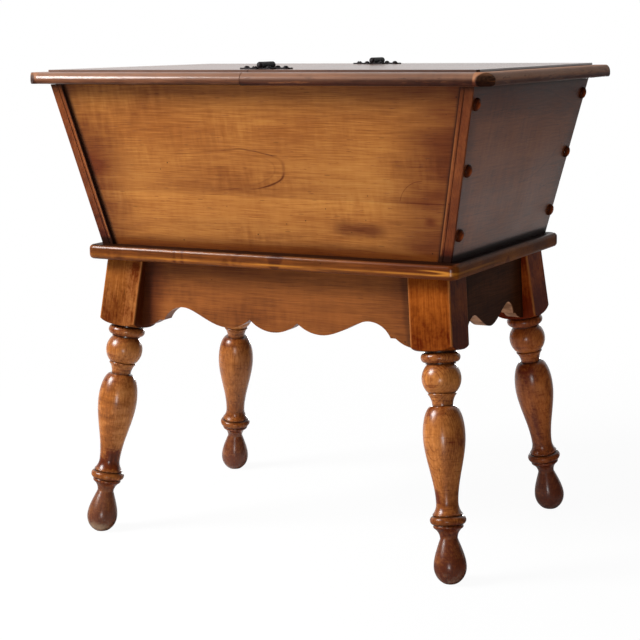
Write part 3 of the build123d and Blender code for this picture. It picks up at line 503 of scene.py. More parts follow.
def makeEndBoard(name, look):
    # grain runs front to back, so the edges show end grain, with its rings running up them
    material, graph = newMaterial(name)
    x, y, z = graph.parts(objectPlace(graph))
    drop = binShape["topEdge"] - z
    toFace = binShape["endFace"] - drop * binShape["endSlope"] - x.size()
    toEdge = binShape["edge"] - drop * binShape["sideSlope"] - y.size()
    onEdge = toEdge.rise(0.0035, 0.0020)
    along = y + (z - y) * onEdge
    across = z + (y - z) * onEdge
    colour, cloud, height, spot = mapleColour(graph, graph.vector(along, across, x), look)
    uneven = patchy(graph, spot, (14.0, 30.0, 30.0))
    nearRim = drop.rise(endShade["rimReach"], 0.004) * endShade["rim"]
    nearEdge = toEdge.rise(endShade["edgeReach"], 0.003) * endShade["edge"]
    shade = nearRim.most(nearEdge) * (1.0 - onEdge)
    shade = shade.most((z - binShape["floor"]).rise(endShade["footReach"], 0.002) * endShade["foot"])
    shade = shade + onEdge * (0.42 + 0.26 * drop.rise(0.03, 0.16)) * uneven
    colour = toned(graph, colour, shade)
    groove = toFace.bump(endShade["bead"], endShade["beadWidth"]) * onEdge * 0.5 * uneven
    # painted shade in the corner where each edge stands proud of the front and back boards
    innerCorner = toFace.rise(binShape["thickness"] - 0.0012, binShape["thickness"] - 0.0002) * 0.92
    innerCorner = innerCorner * toEdge.rise(0.0042, 0.0036)
    # painted shadow along the foot, by the platform, and along the head, under the top
    foot = (z - binShape["floor"]).rise(endShade["footShadowReach"], 0.0060) * 0.94
    head = drop.rise(endShade["headShadowReach"], 0.0010) * 0.75
    dirtAndShade = groove.most(innerCorner).most(foot).most(head)
    # painted highlight on the arris beside the bead, partly rub-through
    worn = toFace.bump(endShade["wornAndLitLine"], 0.0013) * onEdge * drop.rise(0.02, 0.08) * uneven * 0.42
    colour = graph.mix(worn, colour, paint(endShade["rubbed"]))
    colour = darkenWithGlazeAndShade(graph, colour, dirtAndShade)
    colour = addSpecks(graph, colour, spot, look)
    hazy = graph.noise(spot, (11.0, 17.0, 17.0), 3.0, 0.6).rise(0.35, 0.65)
    lacquer = (1.0 - dirtAndShade * 1.1) * (1.0 - onEdge * 0.6) * (1.0 - drop.rise(0.130, 0.006) * 0.56)
    lacquer = lacquer * (0.72 + 0.28 * hazy)
    finishMaple(graph, colour, cloud, height, spot,
                {**sheen, "coat": 0.60, "specular": 0.16}, lacquer)
    return material


endLook = {
    "tones": {"dark": "48210e", "low": "6d3717", "mid": "8c4b22", "high": "a7632f"},
    "band": 0.22,
    "cloud": 0.30,
}
endRings = {"lead": 0.3, "bow": 0.003, "wobble": 0.010, "width": 0.10, "strength": 0.10}
dress(["right_end_board"], makeEndBoard("mapleRightEnd", {
    **endLook,
    "offset": (0.3, 0.7, 0.2),
    "rings": {**endRings, "tip": 0.27, "heart": 1.19, "spacing": 0.023},
}))
dress(["left_end_board"], makeEndBoard("mapleLeftEnd", {
    **endLook,
    "offset": (1.3, 2.7, 0.6),
    "rings": {**endRings, "tip": 1.34, "heart": 3.15, "spacing": 0.024},
}))


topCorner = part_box("fixed_top")[1]
topShape = {
    "fieldX": topCorner.x - 0.021,  # the flat field ends at a small step
    "fieldY": topCorner.y - 0.021,
    "clip": topCorner.x + topCorner.y - 0.0155,  # along the clipped corners, x and y add up to this
    "ledge": topCorner.z - 0.0026,  # foot of the step
    "ledgeWidth": 0.0040,
    "noseStart": 0.012,  # the nose, out from the field
    "noseEnd": 0.017,
    "shoulder": 0.5775,  # heights on the rounded nose, from its upper part down
    "chipped": 0.5755,
    "soiled": 0.5735,
    "rubbed": 0.5722,
}
topFinish = {
    "side": "c08055",  # the two ends, where the grain runs out, in a lighter warm brown: a painted highlight
    # painted highlight on the upper part of the nose
    "upper": "b3917c",
    # painted reflection on the face of the step
    "step": "968c88",
    "rubbed": "a5653a",
    "sheen": {"roughness": 0.46, "coat": 0.64, "coatRoughness": 0.17, "ripple": 0.18},
}


def makeTop(name, look):
    material, graph = newMaterial(name)
    x, y, z = graph.parts(objectPlace(graph))
    place = graph.vector(x, y, z)
    colour, cloud, height, spot = mapleColour(graph, place, look)
    lift = z - binShape["topEdge"]
    outX = x.size() - topShape["fieldX"]
    outY = y.size() - topShape["fieldY"]
    outside = outX.most(outY)
    onSide = outX.rise(0.0, 0.002)
    onLedge = outside.rise(topShape["ledgeWidth"], 0.0002)
    onLedge = onLedge * z.rise(topShape["ledge"] - 0.0006, topShape["ledge"])
    onNose = outside.rise(topShape["noseStart"], topShape["noseEnd"])

    rub = graph.noise(place, (16.0, 40.0, 120.0), 3.0, 0.6).rise(0.44, 0.60)
    low = lift.rise(0.0090, 0.0020) * lift.rise(0.0001, 0.0007)
    shade = (look["lowShade"] + rub * 0.5) * low
    shade = shade.most(look["lowShade"] * 0.15 * (0.5 + rub))
    # painted highlight: the ends turn a lighter warm brown; painted shade darkens their lower part
    colour = graph.mix(onSide * look["pale"], colour, paint(topFinish["side"]))
    colour = toned(graph, colour, shade.most(lift.rise(0.0100, 0.0040) * onSide * 0.9))

    # painted highlight on the upper part of the nose, and below, a painted reflection on the step's face
    upper = z.rise(topShape["soiled"], topShape["shoulder"]) * outside.rise(0.002, 0.005)
    upper = upper * (1.0 - onLedge)
    colour = graph.mix(upper * 0.20, colour, paint(topFinish["upper"]))
    onStep = outside.rise(-0.0005, -0.0001) * (1.0 - onSide)
    onStep = onStep * z.rise(topShape["ledge"] - 0.0002, topShape["ledge"] + 0.0004)
    colour = graph.mix(onStep * 0.22, colour, paint(topFinish["step"]))

    smear = graph.noise(place, (45.0, 45.0, 160.0), 2.0).rise(0.5, 0.66)
    # glaze and painted shade in the crease of the step, and painted shade under the ends; with end grain
    # and dirt they darken the top
    crease = onLedge * outside.rise(-0.001, 0.0001) * 0.20
    under = onSide * lift.rise(0.0070, 0.0040) * 0.45
    pores = graph.noise(place, (260.0, 260.0, 420.0), 3.0, 0.6).rise(0.34, 0.66)
    endGrain = (x.size() + y.size() - topShape["clip"]).rise(-0.0034, -0.0004) * (0.78 + pores * 0.18)
    endGrain = endGrain * (z.rise(topShape["ledge"] - 0.0010, topShape["shoulder"]) * 0.55 + 0.45)
    dirtAndShade = crease.most(rub * smear * low * look["dirtAndShade"]).most(endGrain).most(under)
    colour = darkenWithGlazeAndShade(graph, colour, dirtAndShade)
    colour = addSpecks(graph, colour, spot, look)

    worn = graph.noise(place, (48.0, 48.0, 300.0), 3.0, 0.6)
    rubbed = worn.rise(0.54, 0.68) * onNose * z.bump(topShape["rubbed"], 0.0036) * look["dirtAndShade"] * 0.45
    colour = graph.mix(rubbed, colour, paint(topFinish["rubbed"]))
    chips = worn.rise(0.45, 0.36) * onNose * z.bump(topShape["chipped"], 0.0045) * look["dirtAndShade"]
    soiled = z.bump(topShape["soiled"], 0.0045) * onNose * (1.0 - onSide) * look["dirtAndShade"] * 0.60
    colour = darkenWithGlazeAndShade(graph, colour, (chips * 0.6).most(soiled))
    broken = graph.noise(place, (60.0, 60.0, 260.0), 2.0).rise(0.34, 0.60)
    lacquer = 1.0 - onSide * 0.95 - outY.rise(0.0, 0.002) * (1.0 - broken) * 0.45
    finishMaple(graph, colour, cloud + onSide * 0.8, height * 0.45, spot,
                {**sheen, **topFinish["sheen"]}, lacquer)
    return material


topTones = {"dark": "3f2014", "low": "5c3520", "mid": "76482d", "high": "8f5e3d"}
topRings = {"bow": 0.004, "wobble": 0.008, "width": 0.10, "strength": 0.26}
dress(["fixed_top"], makeTop("mapleFixedTop", {
    "offset": (0.0, 0.0, 0.0),
    "tones": topTones,
    "lowShade": 0.95,
    "dirtAndShade": 0.85,
    # how strongly the painted highlight shows on this half's end
    "pale": 0.76,
    "rings": {**topRings, "tip": 0.10, "lead": 0.22, "heart": 0.045, "spacing": 0.021},
}))
dress(["lid"], makeTop("mapleLid", {
    "offset": (3.0, 1.0, 0.5),
    "tones": topTones,
    "lowShade": 0.20,
    "dirtAndShade": 0.25,
    "pale": 0.25,
    "rings": {**topRings, "tip": 2.88, "lead": 0.20, "heart": 0.97, "spacing": 0.019},
}))


platformShape = {
    "top": binShape["floor"],
    "endRound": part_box("platform")[1].x - 0.0054,  # where the rounding of the end edges starts
    "rim": 0.3568,  # pale line low on the edge: a painted reflection of the floor
    "brim": 0.3545,  # below this the edge turns under
    "endShadowReach": 0.0085,  # how far painted shadow, and on the ends a painted dark reflection, reach out from the boards of the bin
    "sideShadowReach": 0.0070,
    "streakX": -0.1150,  # two dark streaks side by side
    "loopX": 0.2080,  # growth ring that turns back at the front right corner
    "loopZ": 0.3588,
}
platformFinish = {
    "offset": (0.6, 0.2, 0.4),
    "cloud": 0.7,
    "thread": 0.4,
    "tones": {"dark": "44210b", "low": "6c3a12", "mid": "8c4e1a", "high": "ad6e2a"},
    # colour of the painted reflection along the rim and of the growth ring loop
    "pale": "c8812e",
    "sheen": {"coat": 0.60, "coatRoughness": 0.26, "ripple": 0.04, "specular": 0.03},
}


def makePlatform(look):
    material, graph = newMaterial("maplePlatform")
    x, y, z = graph.parts(objectPlace(graph))
    colour, cloud, height, spot = mapleColour(graph, graph.vector(x, y, z), look)
    boardHeight = binShape["topEdge"] - binShape["floor"]
    footX = binShape["endFace"] - boardHeight * binShape["endSlope"]
    footY = binShape["sideFace"] - boardHeight * binShape["sideSlope"]
    drop = platformShape["top"] - z
    onTop = drop.rise(0.0018, 0.0004)
    # painted shadow on the top by the boards; by the end boards also their painted dark reflection
    underEnd = onTop * (x.size() - footX).rise(platformShape["endShadowReach"], 0.0060)
    underSide = onTop * (y.size() - footY).rise(platformShape["sideShadowReach"], 0.0)
    onSide = (x.size() - platformShape["endRound"]).rise(0.0, 0.004)

    blots = graph.noise(graph.vector(x, y, z), (34.0, 30.0, 26.0), 2.0).rise(0.56, 0.70)
    streaks = (x - platformShape["streakX"]).size().bump(0.0055, 0.0050)
    blots = blots.most(streaks * 0.9)
    flank = drop.rise(0.0022, 0.0050) * drop.rise(0.0120, 0.0085) * 0.45
    brim = z.rise(platformShape["brim"], platformShape["brim"] - 0.0025) * 0.55
    cornerShade = x.rise(0.05, 0.18) * 0.80 * (1.0 - onSide * 0.50)
    shade = (blots * 0.8).most(flank).most(brim).most(onSide * 0.25).most(cornerShade)
    colour = toned(graph, colour, shade)

    # painted reflection of the floor along the lower edge, and a growth ring that turns back at the front
    # right corner
    patches = graph.noise(spot, (14.0, 30.0, 30.0), 2.0).rise(0.36, 0.62) * 0.8 + 0.2
    rim = z.bump(platformShape["rim"], 0.0020) * patches * (1.0 - onSide * 0.85)
    rim = rim * (x.rise(-0.22, -0.05) * 0.6 + 0.4)
    past = (x - platformShape["loopX"]).most(0.0) * 0.080
    loop = (past * past + (z - platformShape["loopZ"]) ** 2.0).root().bump(0.0026, 0.0013)
    loop = loop * x.rise(0.194, 0.226) * y.rise(0.0, -0.1)
    colour = graph.mix((rim * 0.50).most(loop * 0.75), colour, paint(look["pale"]))
    colour = darkenWithGlazeAndShade(graph, colour, (underEnd * 0.95).most(underSide * 0.32))
    colour = addSpecks(graph, colour, spot, look)
    finishMaple(graph, colour, cloud, height * 0.35, spot,
                {**sheen, **look["sheen"]}, 1.0 - onSide * 0.92 - underEnd)
    return material


dress(["platform"], makePlatform(platformFinish))


def makeApron(name, alongX, look):
    # colour of the curved lower edge, which was left rougher; on the short aprons its lighter colour is
    # partly painted light from the floor below
    material, graph = newMaterial(name)
    x, y, z = graph.parts(objectPlace(graph))
    along, depth = (x, y) if alongX else (y, x)
    colour, cloud, height, spot = mapleColour(graph, graph.vector(along, z, depth), look)
    uneven = patchy(graph, spot, (12.0, 20.0, 20.0))
    drop = look["topEdge"] - z
    # painted shadow under the platform, stronger towards the left
    shade = drop.rise(look["platformShadowReach"], 0.0) * (0.14 + along.rise(0.08, -0.02) * 0.36) * uneven
    shade = shade.most(drop.rise(*look["lobes"]) * 0.30 * uneven)
    # painted shadow beside the leg blocks, strongest by the left one; glaze and painted shade in the
    # corners against them
    toBlock = look["halfLength"] + drop * look["blockSlope"] - along.size()
    shade = shade.most(toBlock.rise(look["blockShadowReach"], 0.0) * (0.36 + 0.52 * along.rise(0.05, -0.05)))
    colour = toned(graph, colour, shade)
    colour = darkenWithGlazeAndShade(graph, colour, toBlock.rise(look["cornerGlazeAndShadeReach"], 0.0010) * 0.40)
    inward = look["face"] - depth.size()
    sawnAndFloorLit = inward.rise(0.0006, 0.0016) * inward.rise(look["thickness"], look["thickness"] - 0.0010)
    sawnAndFloorLit = sawnAndFloorLit * drop.rise(0.003, 0.006)
    blotched = graph.noise(graph.vector(x, y, z), (60.0, 60.0, 90.0), 2.0).rise(0.36, 0.60) * 0.5 + 0.35
    colour = graph.mix(sawnAndFloorLit * blotched, colour, paint(look["sawnAndFloorLit"]))
    colour = addSpecks(graph, colour, spot, look)
    finishMaple(graph, colour, cloud, height, spot,
                {**sheen, "coat": look["coat"], "specular": look["coat"] * 0.5})
    return material


apronShape = {
    "topEdge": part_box("platform")[0].z,
    "blockSlope": 0.12,  # the leg blocks lean away from the apron's middle
    "thickness": 0.0170,
    "platformShadowReach": 0.030,  # how far the painted shadow reaches down from the platform
    "lobes": (0.037, 0.063),  # between these drops the low parts darken again
    "blockShadowReach": 0.042,
    "cornerGlazeAndShadeReach": 0.0080,
}
dress(["front_apron", "back_apron"], makeApron("mapleLongAprons", True, {
    **apronShape,
    "offset": (0.9, 0.1, 0.7),
    "tones": {"dark": "47230d", "low": "6c3b17", "mid": "8b4f20", "high": "a5662f"},
    "cloud": 0.55,
    "band": 0.18,
    "thread": 0.12,
    "coat": 0.25,
    "halfLength": 0.1715,  # between the blocks, at the top
    "face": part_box("back_apron")[1].y,
    "sawnAndFloorLit": "6c402a",
}))
# the short aprons take darker tones than the long ones: painted shade over the same finish
dress(["left_apron", "right_apron"], makeApron("mapleShortApronsShaded", False, {
    **apronShape,
    "offset": (2.1, 0.5, 0.2),
    "tones": {"dark": "26120a", "low": "3e200f", "mid": "522d17", "high": "663c20"},
    "coat": 0.022,
    "halfLength": 0.0985,
    "face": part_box("right_apron")[1].x,
    # lighter: partly painted light from the floor
    "sawnAndFloorLit": "b48667",
}))
print("boards stained")


# Turned legs: heights run along the leg, from its foot
leg = {
    "footX": 0.24399,
    "footY": 0.17137,
    "splayEnd": math.tan(math.radians(6.2)),
    "splaySide": math.tan(math.radians(7.4)),
    "blockStart": 0.2680,
    "blockHalf": 0.0260,
    "length": 0.3560,
    "footWide": 0.0500,  # the foot, where it is widest and where it ends
    "footTop": 0.0640,
    "ball": 0.0730,
    "ballHalf": 0.0085,
    "ringSpacing": 0.0021,
    "arris": "b4713a",
    "dust": "806654",
    "bare": "a08468",
    "sheen": {"coat": 0.84, "coatRoughness": 0.26, "ripple": 0.05, "specular": 0.02},
}
# how dark the toner is at heights along the leg
legToner = (
    (0.000, 1.00), (0.0500, 0.85), (0.0640, 0.90), (0.0675, 0.80), (0.0685, 0.60), (0.0775, 0.55),
    (0.0788, 0.60), (0.0815, 0.52), (0.0900, 0.60), (0.1000, 0.44), (0.1250, 0.14), (0.1500, 0.02),
    (0.1760, 0.12), (0.1920, 0.46), (0.2046, 0.70), (0.2060, 0.44), (0.2160, 0.36), (0.2190, 0.58),
    (0.2230, 0.30), (0.2320, 0.12), (0.2430, 0.34), (0.2540, 0.80), (0.2600, 0.56), (0.2660, 0.72),
)
# glaze residue and painted shade packed in its grooves: height, width and strength
legGrooveGlazeAndShade = ((0.0682, 0.0013, 0.75), (0.0780, 0.0013, 0.75), (0.2050, 0.0012, 0.60),
              (0.2196, 0.0012, 0.55), (0.2535, 0.0014, 0.75), (0.2668, 0.0020, 0.85))


def legPlace(graph, left, back):
    # the leg's own coordinates: x and y across it, z along it from the foot
    footX = -leg["footX"] if left else leg["footX"]
    footY = leg["footY"] if back else -leg["footY"]
    leanX = leg["splayEnd"] if left else -leg["splayEnd"]
    leanY = -leg["splaySide"] if back else leg["splaySide"]
    up = Vector((leanX, leanY, 1.0)).normalized()
    sideways = (Vector((1.0, 0.0, 0.0)) - up * up.x).normalized()
    turn = Matrix((sideways, up.cross(sideways), up)).transposed().to_euler()
    return graph.node(
        "ShaderNodeMapping",
        {"vector_type": "TEXTURE"},
        {"Vector": objectPlace(graph), "Location": (footX, footY, 0.0), "Rotation": turn},
    )


def legRings(graph, place, heart):
    # rings about a heart outside the leg, cut by the turning into ovals
    x, y, z = graph.parts(place)
    ring = ((x - heart[0]) ** 2.0 + (y - heart[1]) ** 2.0).root()
    ring = ring + (graph.noise(place, (50.0, 50.0, 18.0), 2.0) - 0.5) * 0.0045
    contour = ((ring / leg["ringSpacing"]).fraction() - 0.5).size() * 2.0
    return contour.rise(0.70, 1.0) * graph.noise(place, (24.0, 24.0, 14.0), 1.0).rise(0.38, 0.58)


def legToneAt(graph, z):
    stops = [(level / leg["length"], (dark, dark, dark, 1.0)) for level, dark in legToner]
    return graph.node("ShaderNodeRGBToBW", None, (graph.ramp(z / leg["length"], stops),))


def legSpots(graph, place, marks):
    # ragged spots of dark stain or of bare wood
    x, y, z = graph.parts(place)
    ragged = (graph.noise(place, (170.0, 170.0, 150.0), 3.0, 0.7) - 0.5) * 1.8
    total = 0.0
    for markX, markY, markZ, wide, tall, strength in marks:
        across = ((x - markX) ** 2.0 + (y - markY) ** 2.0) / wide ** 2
        reach = (across + ((z - markZ) / tall) ** 2.0).root()
        total = total + (reach + ragged).rise(1.7, 0.1) * strength
    return total


def blockStainAndShade(graph, place, left, back, blot, mottle):
    # the square block above the turning carries more stain, and painted shade on its outer, inner and
    # cross faces, most on its inner faces; it darkens towards its top and its lower end
    x, y, z = graph.parts(place)
    half = leg["blockHalf"]
    grain = graph.noise(place, (620.0, 620.0, 26.0), 2.0, 0.6).rise(0.35, 0.70)
    outwards = -x if left else x
    outerFace = outwards.rise(half - 0.0010, half - 0.0002)
    innerFace = outwards.rise(0.0008 - half, -half)
    crossFace = (y if back else -y).rise(0.0008 - half, -half)
    shade = blot * 0.34 + grain * 0.20 + mottle * 0.5
    shade = shade + outerFace * 0.40 + innerFace * 0.85 + crossFace * 0.45
    shade = shade + z.rise(0.325, 0.352) * 0.22 + z.rise(0.335, 0.276) * 0.56
    arris = x.size().rise(half - 0.0034, half - 0.0004) * y.size().rise(half - 0.0034, half - 0.0004)
    return shade, innerFace, arris * (0.35 + blot * 0.4)


def makeLeg(node, look):
    material, graph = newMaterial("maple_" + node)
    left = "left" in node
    back = "back" in node
    place = legPlace(graph, left, back)
    x, y, z = graph.parts(place)
    colour, cloud, height, spot = mapleColour(graph, graph.vector(z, x, y), look)
    onTurning = z.rise(leg["blockStart"] + 0.0008, leg["blockStart"] - 0.0008)
    onBlock = 1.0 - onTurning

    # the turning: toner, blots, scores left by the lathe and growth rings
    lathe = graph.noise(place, (20.0, 20.0, 420.0), 2.0, 0.65)
    scored = graph.noise(place, (30.0, 30.0, 22.0)).rise(0.35, 0.65) + 0.35
    scores = lathe.rise(0.55, 0.70) * onTurning * scored
    mottle = (graph.noise(place, (260.0, 260.0, 260.0), 3.0, 0.7) - 0.5) * 1.5
    blot = graph.noise(place, (56.0, 56.0, 34.0), 3.0, 0.6).rise(0.47, 0.72)
    contour = legRings(graph, place, look["heart"])
    shade = legToneAt(graph, z) + blot * 0.36 + scores * 0.34 + contour * look["contour"] + mottle * 0.7
    footBlot = graph.noise(place, (60.0, 60.0, 70.0), 3.0, 0.6).rise(0.46, 0.74)
    shade = shade - footBlot * z.rise(leg["footWide"], 0.025) * 0.30
    marks = legSpots(graph, place, look["marks"])
    shade = shade * onTurning + marks

    blockShade, innerFace, arris = blockStainAndShade(graph, place, left, back, blot, mottle)
    filtered = graph.mix(1.0, colour, paint(look["block"]), "MULTIPLY")
    colour = graph.mix(onBlock, colour, filtered)
    colour = graph.mix(1.0, colour, paint(look["filter"]), "MULTIPLY")
    colour = toned(graph, colour, shade + blockShade * onBlock)
    colour = graph.mix(arris * onBlock, colour, paint(leg["arris"]))

    # dust and wear on the foot, glaze residue and painted shade in the grooves, and painted shade on the
    # block's inner faces
    dust = graph.noise(place, (110.0, 110.0, 130.0), 3.0, 0.7)
    scuff = dust.rise(0.44, 0.66) * z.rise(look["scuffed"], 0.002)
    haze = (dust * 1.4 + 0.2) * z.rise(leg["footTop"] + 0.002, leg["footWide"]) * look["haze"]
    colour = graph.mix((scuff * 0.62).most(haze), colour, paint(leg["dust"]))
    if look["worn"]:
        worn = legSpots(graph, place, look["worn"])
        colour = graph.mix(worn.clamped(), colour, paint(leg["bare"]))
    darkGlazeAndShade = sum(z.bump(level, width * 1.5) * strength for level, width, strength in legGrooveGlazeAndShade)
    sole = z.rise(leg["footTop"], leg["footWide"]) * 0.15
    colour = darkenWithGlazeAndShade(graph, colour, sole.most(darkGlazeAndShade).most(innerFace * onBlock * 0.40))
    colour = darkenWithGlazeAndShade(graph, colour, marks.rise(0.60, 1.40) * 0.40)
    colour = addSpecks(graph, colour, spot, look)
    lacquer = onTurning * (0.92 - z.bump(leg["ball"], leg["ballHalf"]) * 0.35) + 0.08
    finishMaple(graph, colour, cloud, height * 0.4 - scores * 0.4, spot,
                {**sheen, **leg["sheen"]}, lacquer)
    return material


legGrain = {
    "tones": {"dark": "613010", "low": "975722", "mid": "c27d3f", "high": "dc9e5b"},
    "fibre": 0.20,
    "thread": 0.26,
    "band": 0.26,
    "cloud": 0.60,
    "curl": 0.34,
    "dashes": 0.55,
    "speckSize": 0.062,
}
# heart is the centre of the growth rings and contour how strongly they show; scuffed is how high
# the scuffs reach and haze how dusty the foot is; block and filter tint the block and the whole leg;
# marks and worn are x, y, height, width, tallness and strength of dark and of bare spots
legLooks = {
    "front_right_leg": {
        "offset": (0.4, 0.05, 0.04), "heart": (0.010, 0.058), "contour": 0.46,
        "scuffed": 0.020, "haze": 0.05, "block": "cfb086", "filter": "f4ecdc",
        "marks": ((0.022, -0.014, 0.1600, 0.014, 0.018, 0.40),
                  (-0.010, -0.014, 0.1010, 0.008, 0.007, 0.85)),
        "worn": (),
    },
    "front_left_leg": {
        "offset": (1.1, 0.03, 0.06), "heart": (0.050, 0.030), "contour": 0.26,
        "scuffed": 0.036, "haze": 0.20, "block": "e4e6ee", "filter": "ffffff",
        "marks": ((0.014, -0.010, 0.098, 0.011, 0.010, 1.30),
                  (0.000, -0.016, 0.088, 0.030, 0.006, 0.70),
                  (0.018, -0.026, 0.330, 0.013, 0.026, 0.62)),
        "worn": ((0.004, -0.014, 0.0060, 0.013, 0.0050, 0.75),
                 (-0.012, -0.010, 0.0120, 0.006, 0.0040, 0.45)),
    },
    "back_right_leg": {
        "offset": (1.9, 0.06, 0.03), "heart": (-0.055, 0.01), "contour": 0.26,
        # its filter darkens the whole leg: painted shade
        "scuffed": 0.018, "haze": 0.1, "block": "ffe4cc", "filter": "eaccb4",
        "marks": ((0.003, -0.024, 0.185, 0.010, 0.020, 0.50),
                  (0.003, -0.017, 0.135, 0.005, 0.045, 0.66)),
        "worn": (),
    },
    "back_left_leg": {
        "offset": (2.7, 0.04, 0.05), "heart": (0.02, -0.055), "contour": 0.26,
        "scuffed": 0.018, "haze": 0.1, "block": "cfa684", "filter": "ffffff",
        "marks": ((0.004, 0.022, 0.1500, 0.009, 0.0160, 0.50),),
        "worn": (),
    },
}
for node, look in legLooks.items():
    dress([node], makeLeg(node, {**legGrain, **look}))
print("legs stained")


# Domed plugs on the end boards: the lowest row's height and place, how far apart the rows are, and the
# colour of a painted highlight low on each dome
plugs = {"row": 0.3999, "rowY": 0.1502, "spacing": 0.0737, "radius": 0.0074, "rubbed": "ad4f1d"}


def makePlugWood():
    material, graph = newMaterial("maplePlugs")
    x, y, z = graph.parts(objectPlace(graph))
    look = {
        "offset": (0.2, 0.3, 0.8),
        "tones": {"dark": "2e1007", "low": "4b1c0c", "mid": "672c10", "high": "86451c"},
    }
    colour, cloud, height, spot = mapleColour(graph, graph.vector(y, z, x), look)
    offZ = (((z - plugs["row"]) / plugs["spacing"] + 0.5).fraction() - 0.5) * plugs["spacing"]
    offY = y.size() - plugs["rowY"] - (z - offZ - plugs["row"]) * binShape["sideSlope"]
    reach = (offY * offY + offZ * offZ).root() / plugs["radius"]
    # painted highlight: a lighter spot a little below each plug's centre
    rubbed = (offY * offY + (offZ + 0.0014) ** 2.0).root() / plugs["radius"]
    colour = graph.mix(rubbed.rise(0.66, 0.18) * 0.75, colour, paint(plugs["rubbed"]))
    colour = darkenWithGlazeAndShade(graph, colour, reach.rise(0.60, 0.98) * 0.76)
    finishMaple(graph, colour, cloud, height, spot,
                {**sheen, "coat": 0.16, "coatRoughness": 0.14, "specular": 0.0})
    return material


def makeBareWood():
    material, graph = newMaterial("bareMaple")
    x, y, z = graph.parts(objectPlace(graph))
    look = {
        "offset": (0.5, 0.5, 0.5),
        "tones": {"dark": "7c5c42", "low": "9c7a59", "mid": "b39272", "high": "c7aa8a"},
    }
    colour, cloud, height, spot = mapleColour(graph, graph.vector(y, x, z), look)
    finishMaple(graph, colour, cloud, height, spot,
                {"roughness": 0.68, "ripple": 0.1, "coat": 0.0, "coatRoughness": 0.3, "specular": 0.3})
    return material


ironFinish = {"fresh": "150f13", "worn": "35261f", "metallic": 0.2, "specular": 0.30}
steelFinish = {"bright": "9c9488", "tarnished": "5f5346"}
feltFinish = {"dark": "2f3a2c", "light": "5c6a55", "sheen": 0.3}


def makeIron():
    material, graph = newMaterial("blackIron")
    place = objectPlace(graph)
    hammer = graph.cells(place, (300.0, 300.0, 300.0), randomness=0.9)
    grit = graph.noise(place, (900.0, 900.0, 900.0), 2.0)
    wear = graph.noise(place, (160.0, 160.0, 160.0), 3.0, 0.6).rise(0.56, 0.70)
    colour = graph.mix(wear * 0.5, paint(ironFinish["fresh"]), paint(ironFinish["worn"]))
    others = {"Metallic": ironFinish["metallic"], "Specular IOR Level": ironFinish["specular"]}
    finish(graph, colour, 0.50 + grit * 0.18, hammer * 0.8 + grit * 0.25, 0.0005, others)
    return material


def makeSteel():
    material, graph = newMaterial("screwSteel")
    place = objectPlace(graph)
    tarnish = graph.noise(place, (220.0, 220.0, 220.0), 3.0, 0.6).rise(0.45, 0.7)
    colour = graph.mix(tarnish * 0.7, paint(steelFinish["bright"]), paint(steelFinish["tarnished"]))
    finish(graph, colour, 0.30 + tarnish * 0.25, tarnish, 0.0001, {"Metallic": 1.0})
    return material


def makeFelt():
    material, graph = newMaterial("padFelt")
    place = objectPlace(graph)
    fuzz = graph.noise(place, (1400.0, 1400.0, 1400.0), 4.0, 0.7)
    colour = graph.mix(fuzz, paint(feltFinish["dark"]), paint(feltFinish["light"]))
    finish(graph, colour, 0.85 + fuzz * 0.1, fuzz, 0.0006, {"Sheen Weight": feltFinish["sheen"]})
    return material


hiddenWood = ("_batten", "_cleat", "_dowels", "_brace")
iron = makeIron()
dress(["left_end_buttons", "right_end_buttons"], makePlugWood())
dress([name for name in nodes if name.endswith(hiddenWood)], makeBareWood())
dress([name for name in nodes if "hinge" in name], iron)
dress([name for name in nodes if name.endswith("_screws") and "hinge" not in name], makeSteel())
dress(["lid_pads"], makeFelt())
print("hardware and hidden wood finished")


# Slotted round-head screws of the hinges, each left at its own turn
hingeScrews = {
    "headRadius": 0.0034,
    "headHeight": 0.0024,
    "rim": 0.0004,
    "slotWidth": 0.0009,
    "slotDepth": 0.0011,
    "shankRadius": 0.00125,
    "shankLength": 0.0110,
    "point": 0.0027,
    "sides": 28,
    "domeSteps": 7,
    "seat": 0.5865,  # top face of the leaves
    "hingeY": 0.151,
    "tongueX": 0.026,
    "pairX": 0.0095,
    "pairY": 0.0109,
    "seed": 11,
}


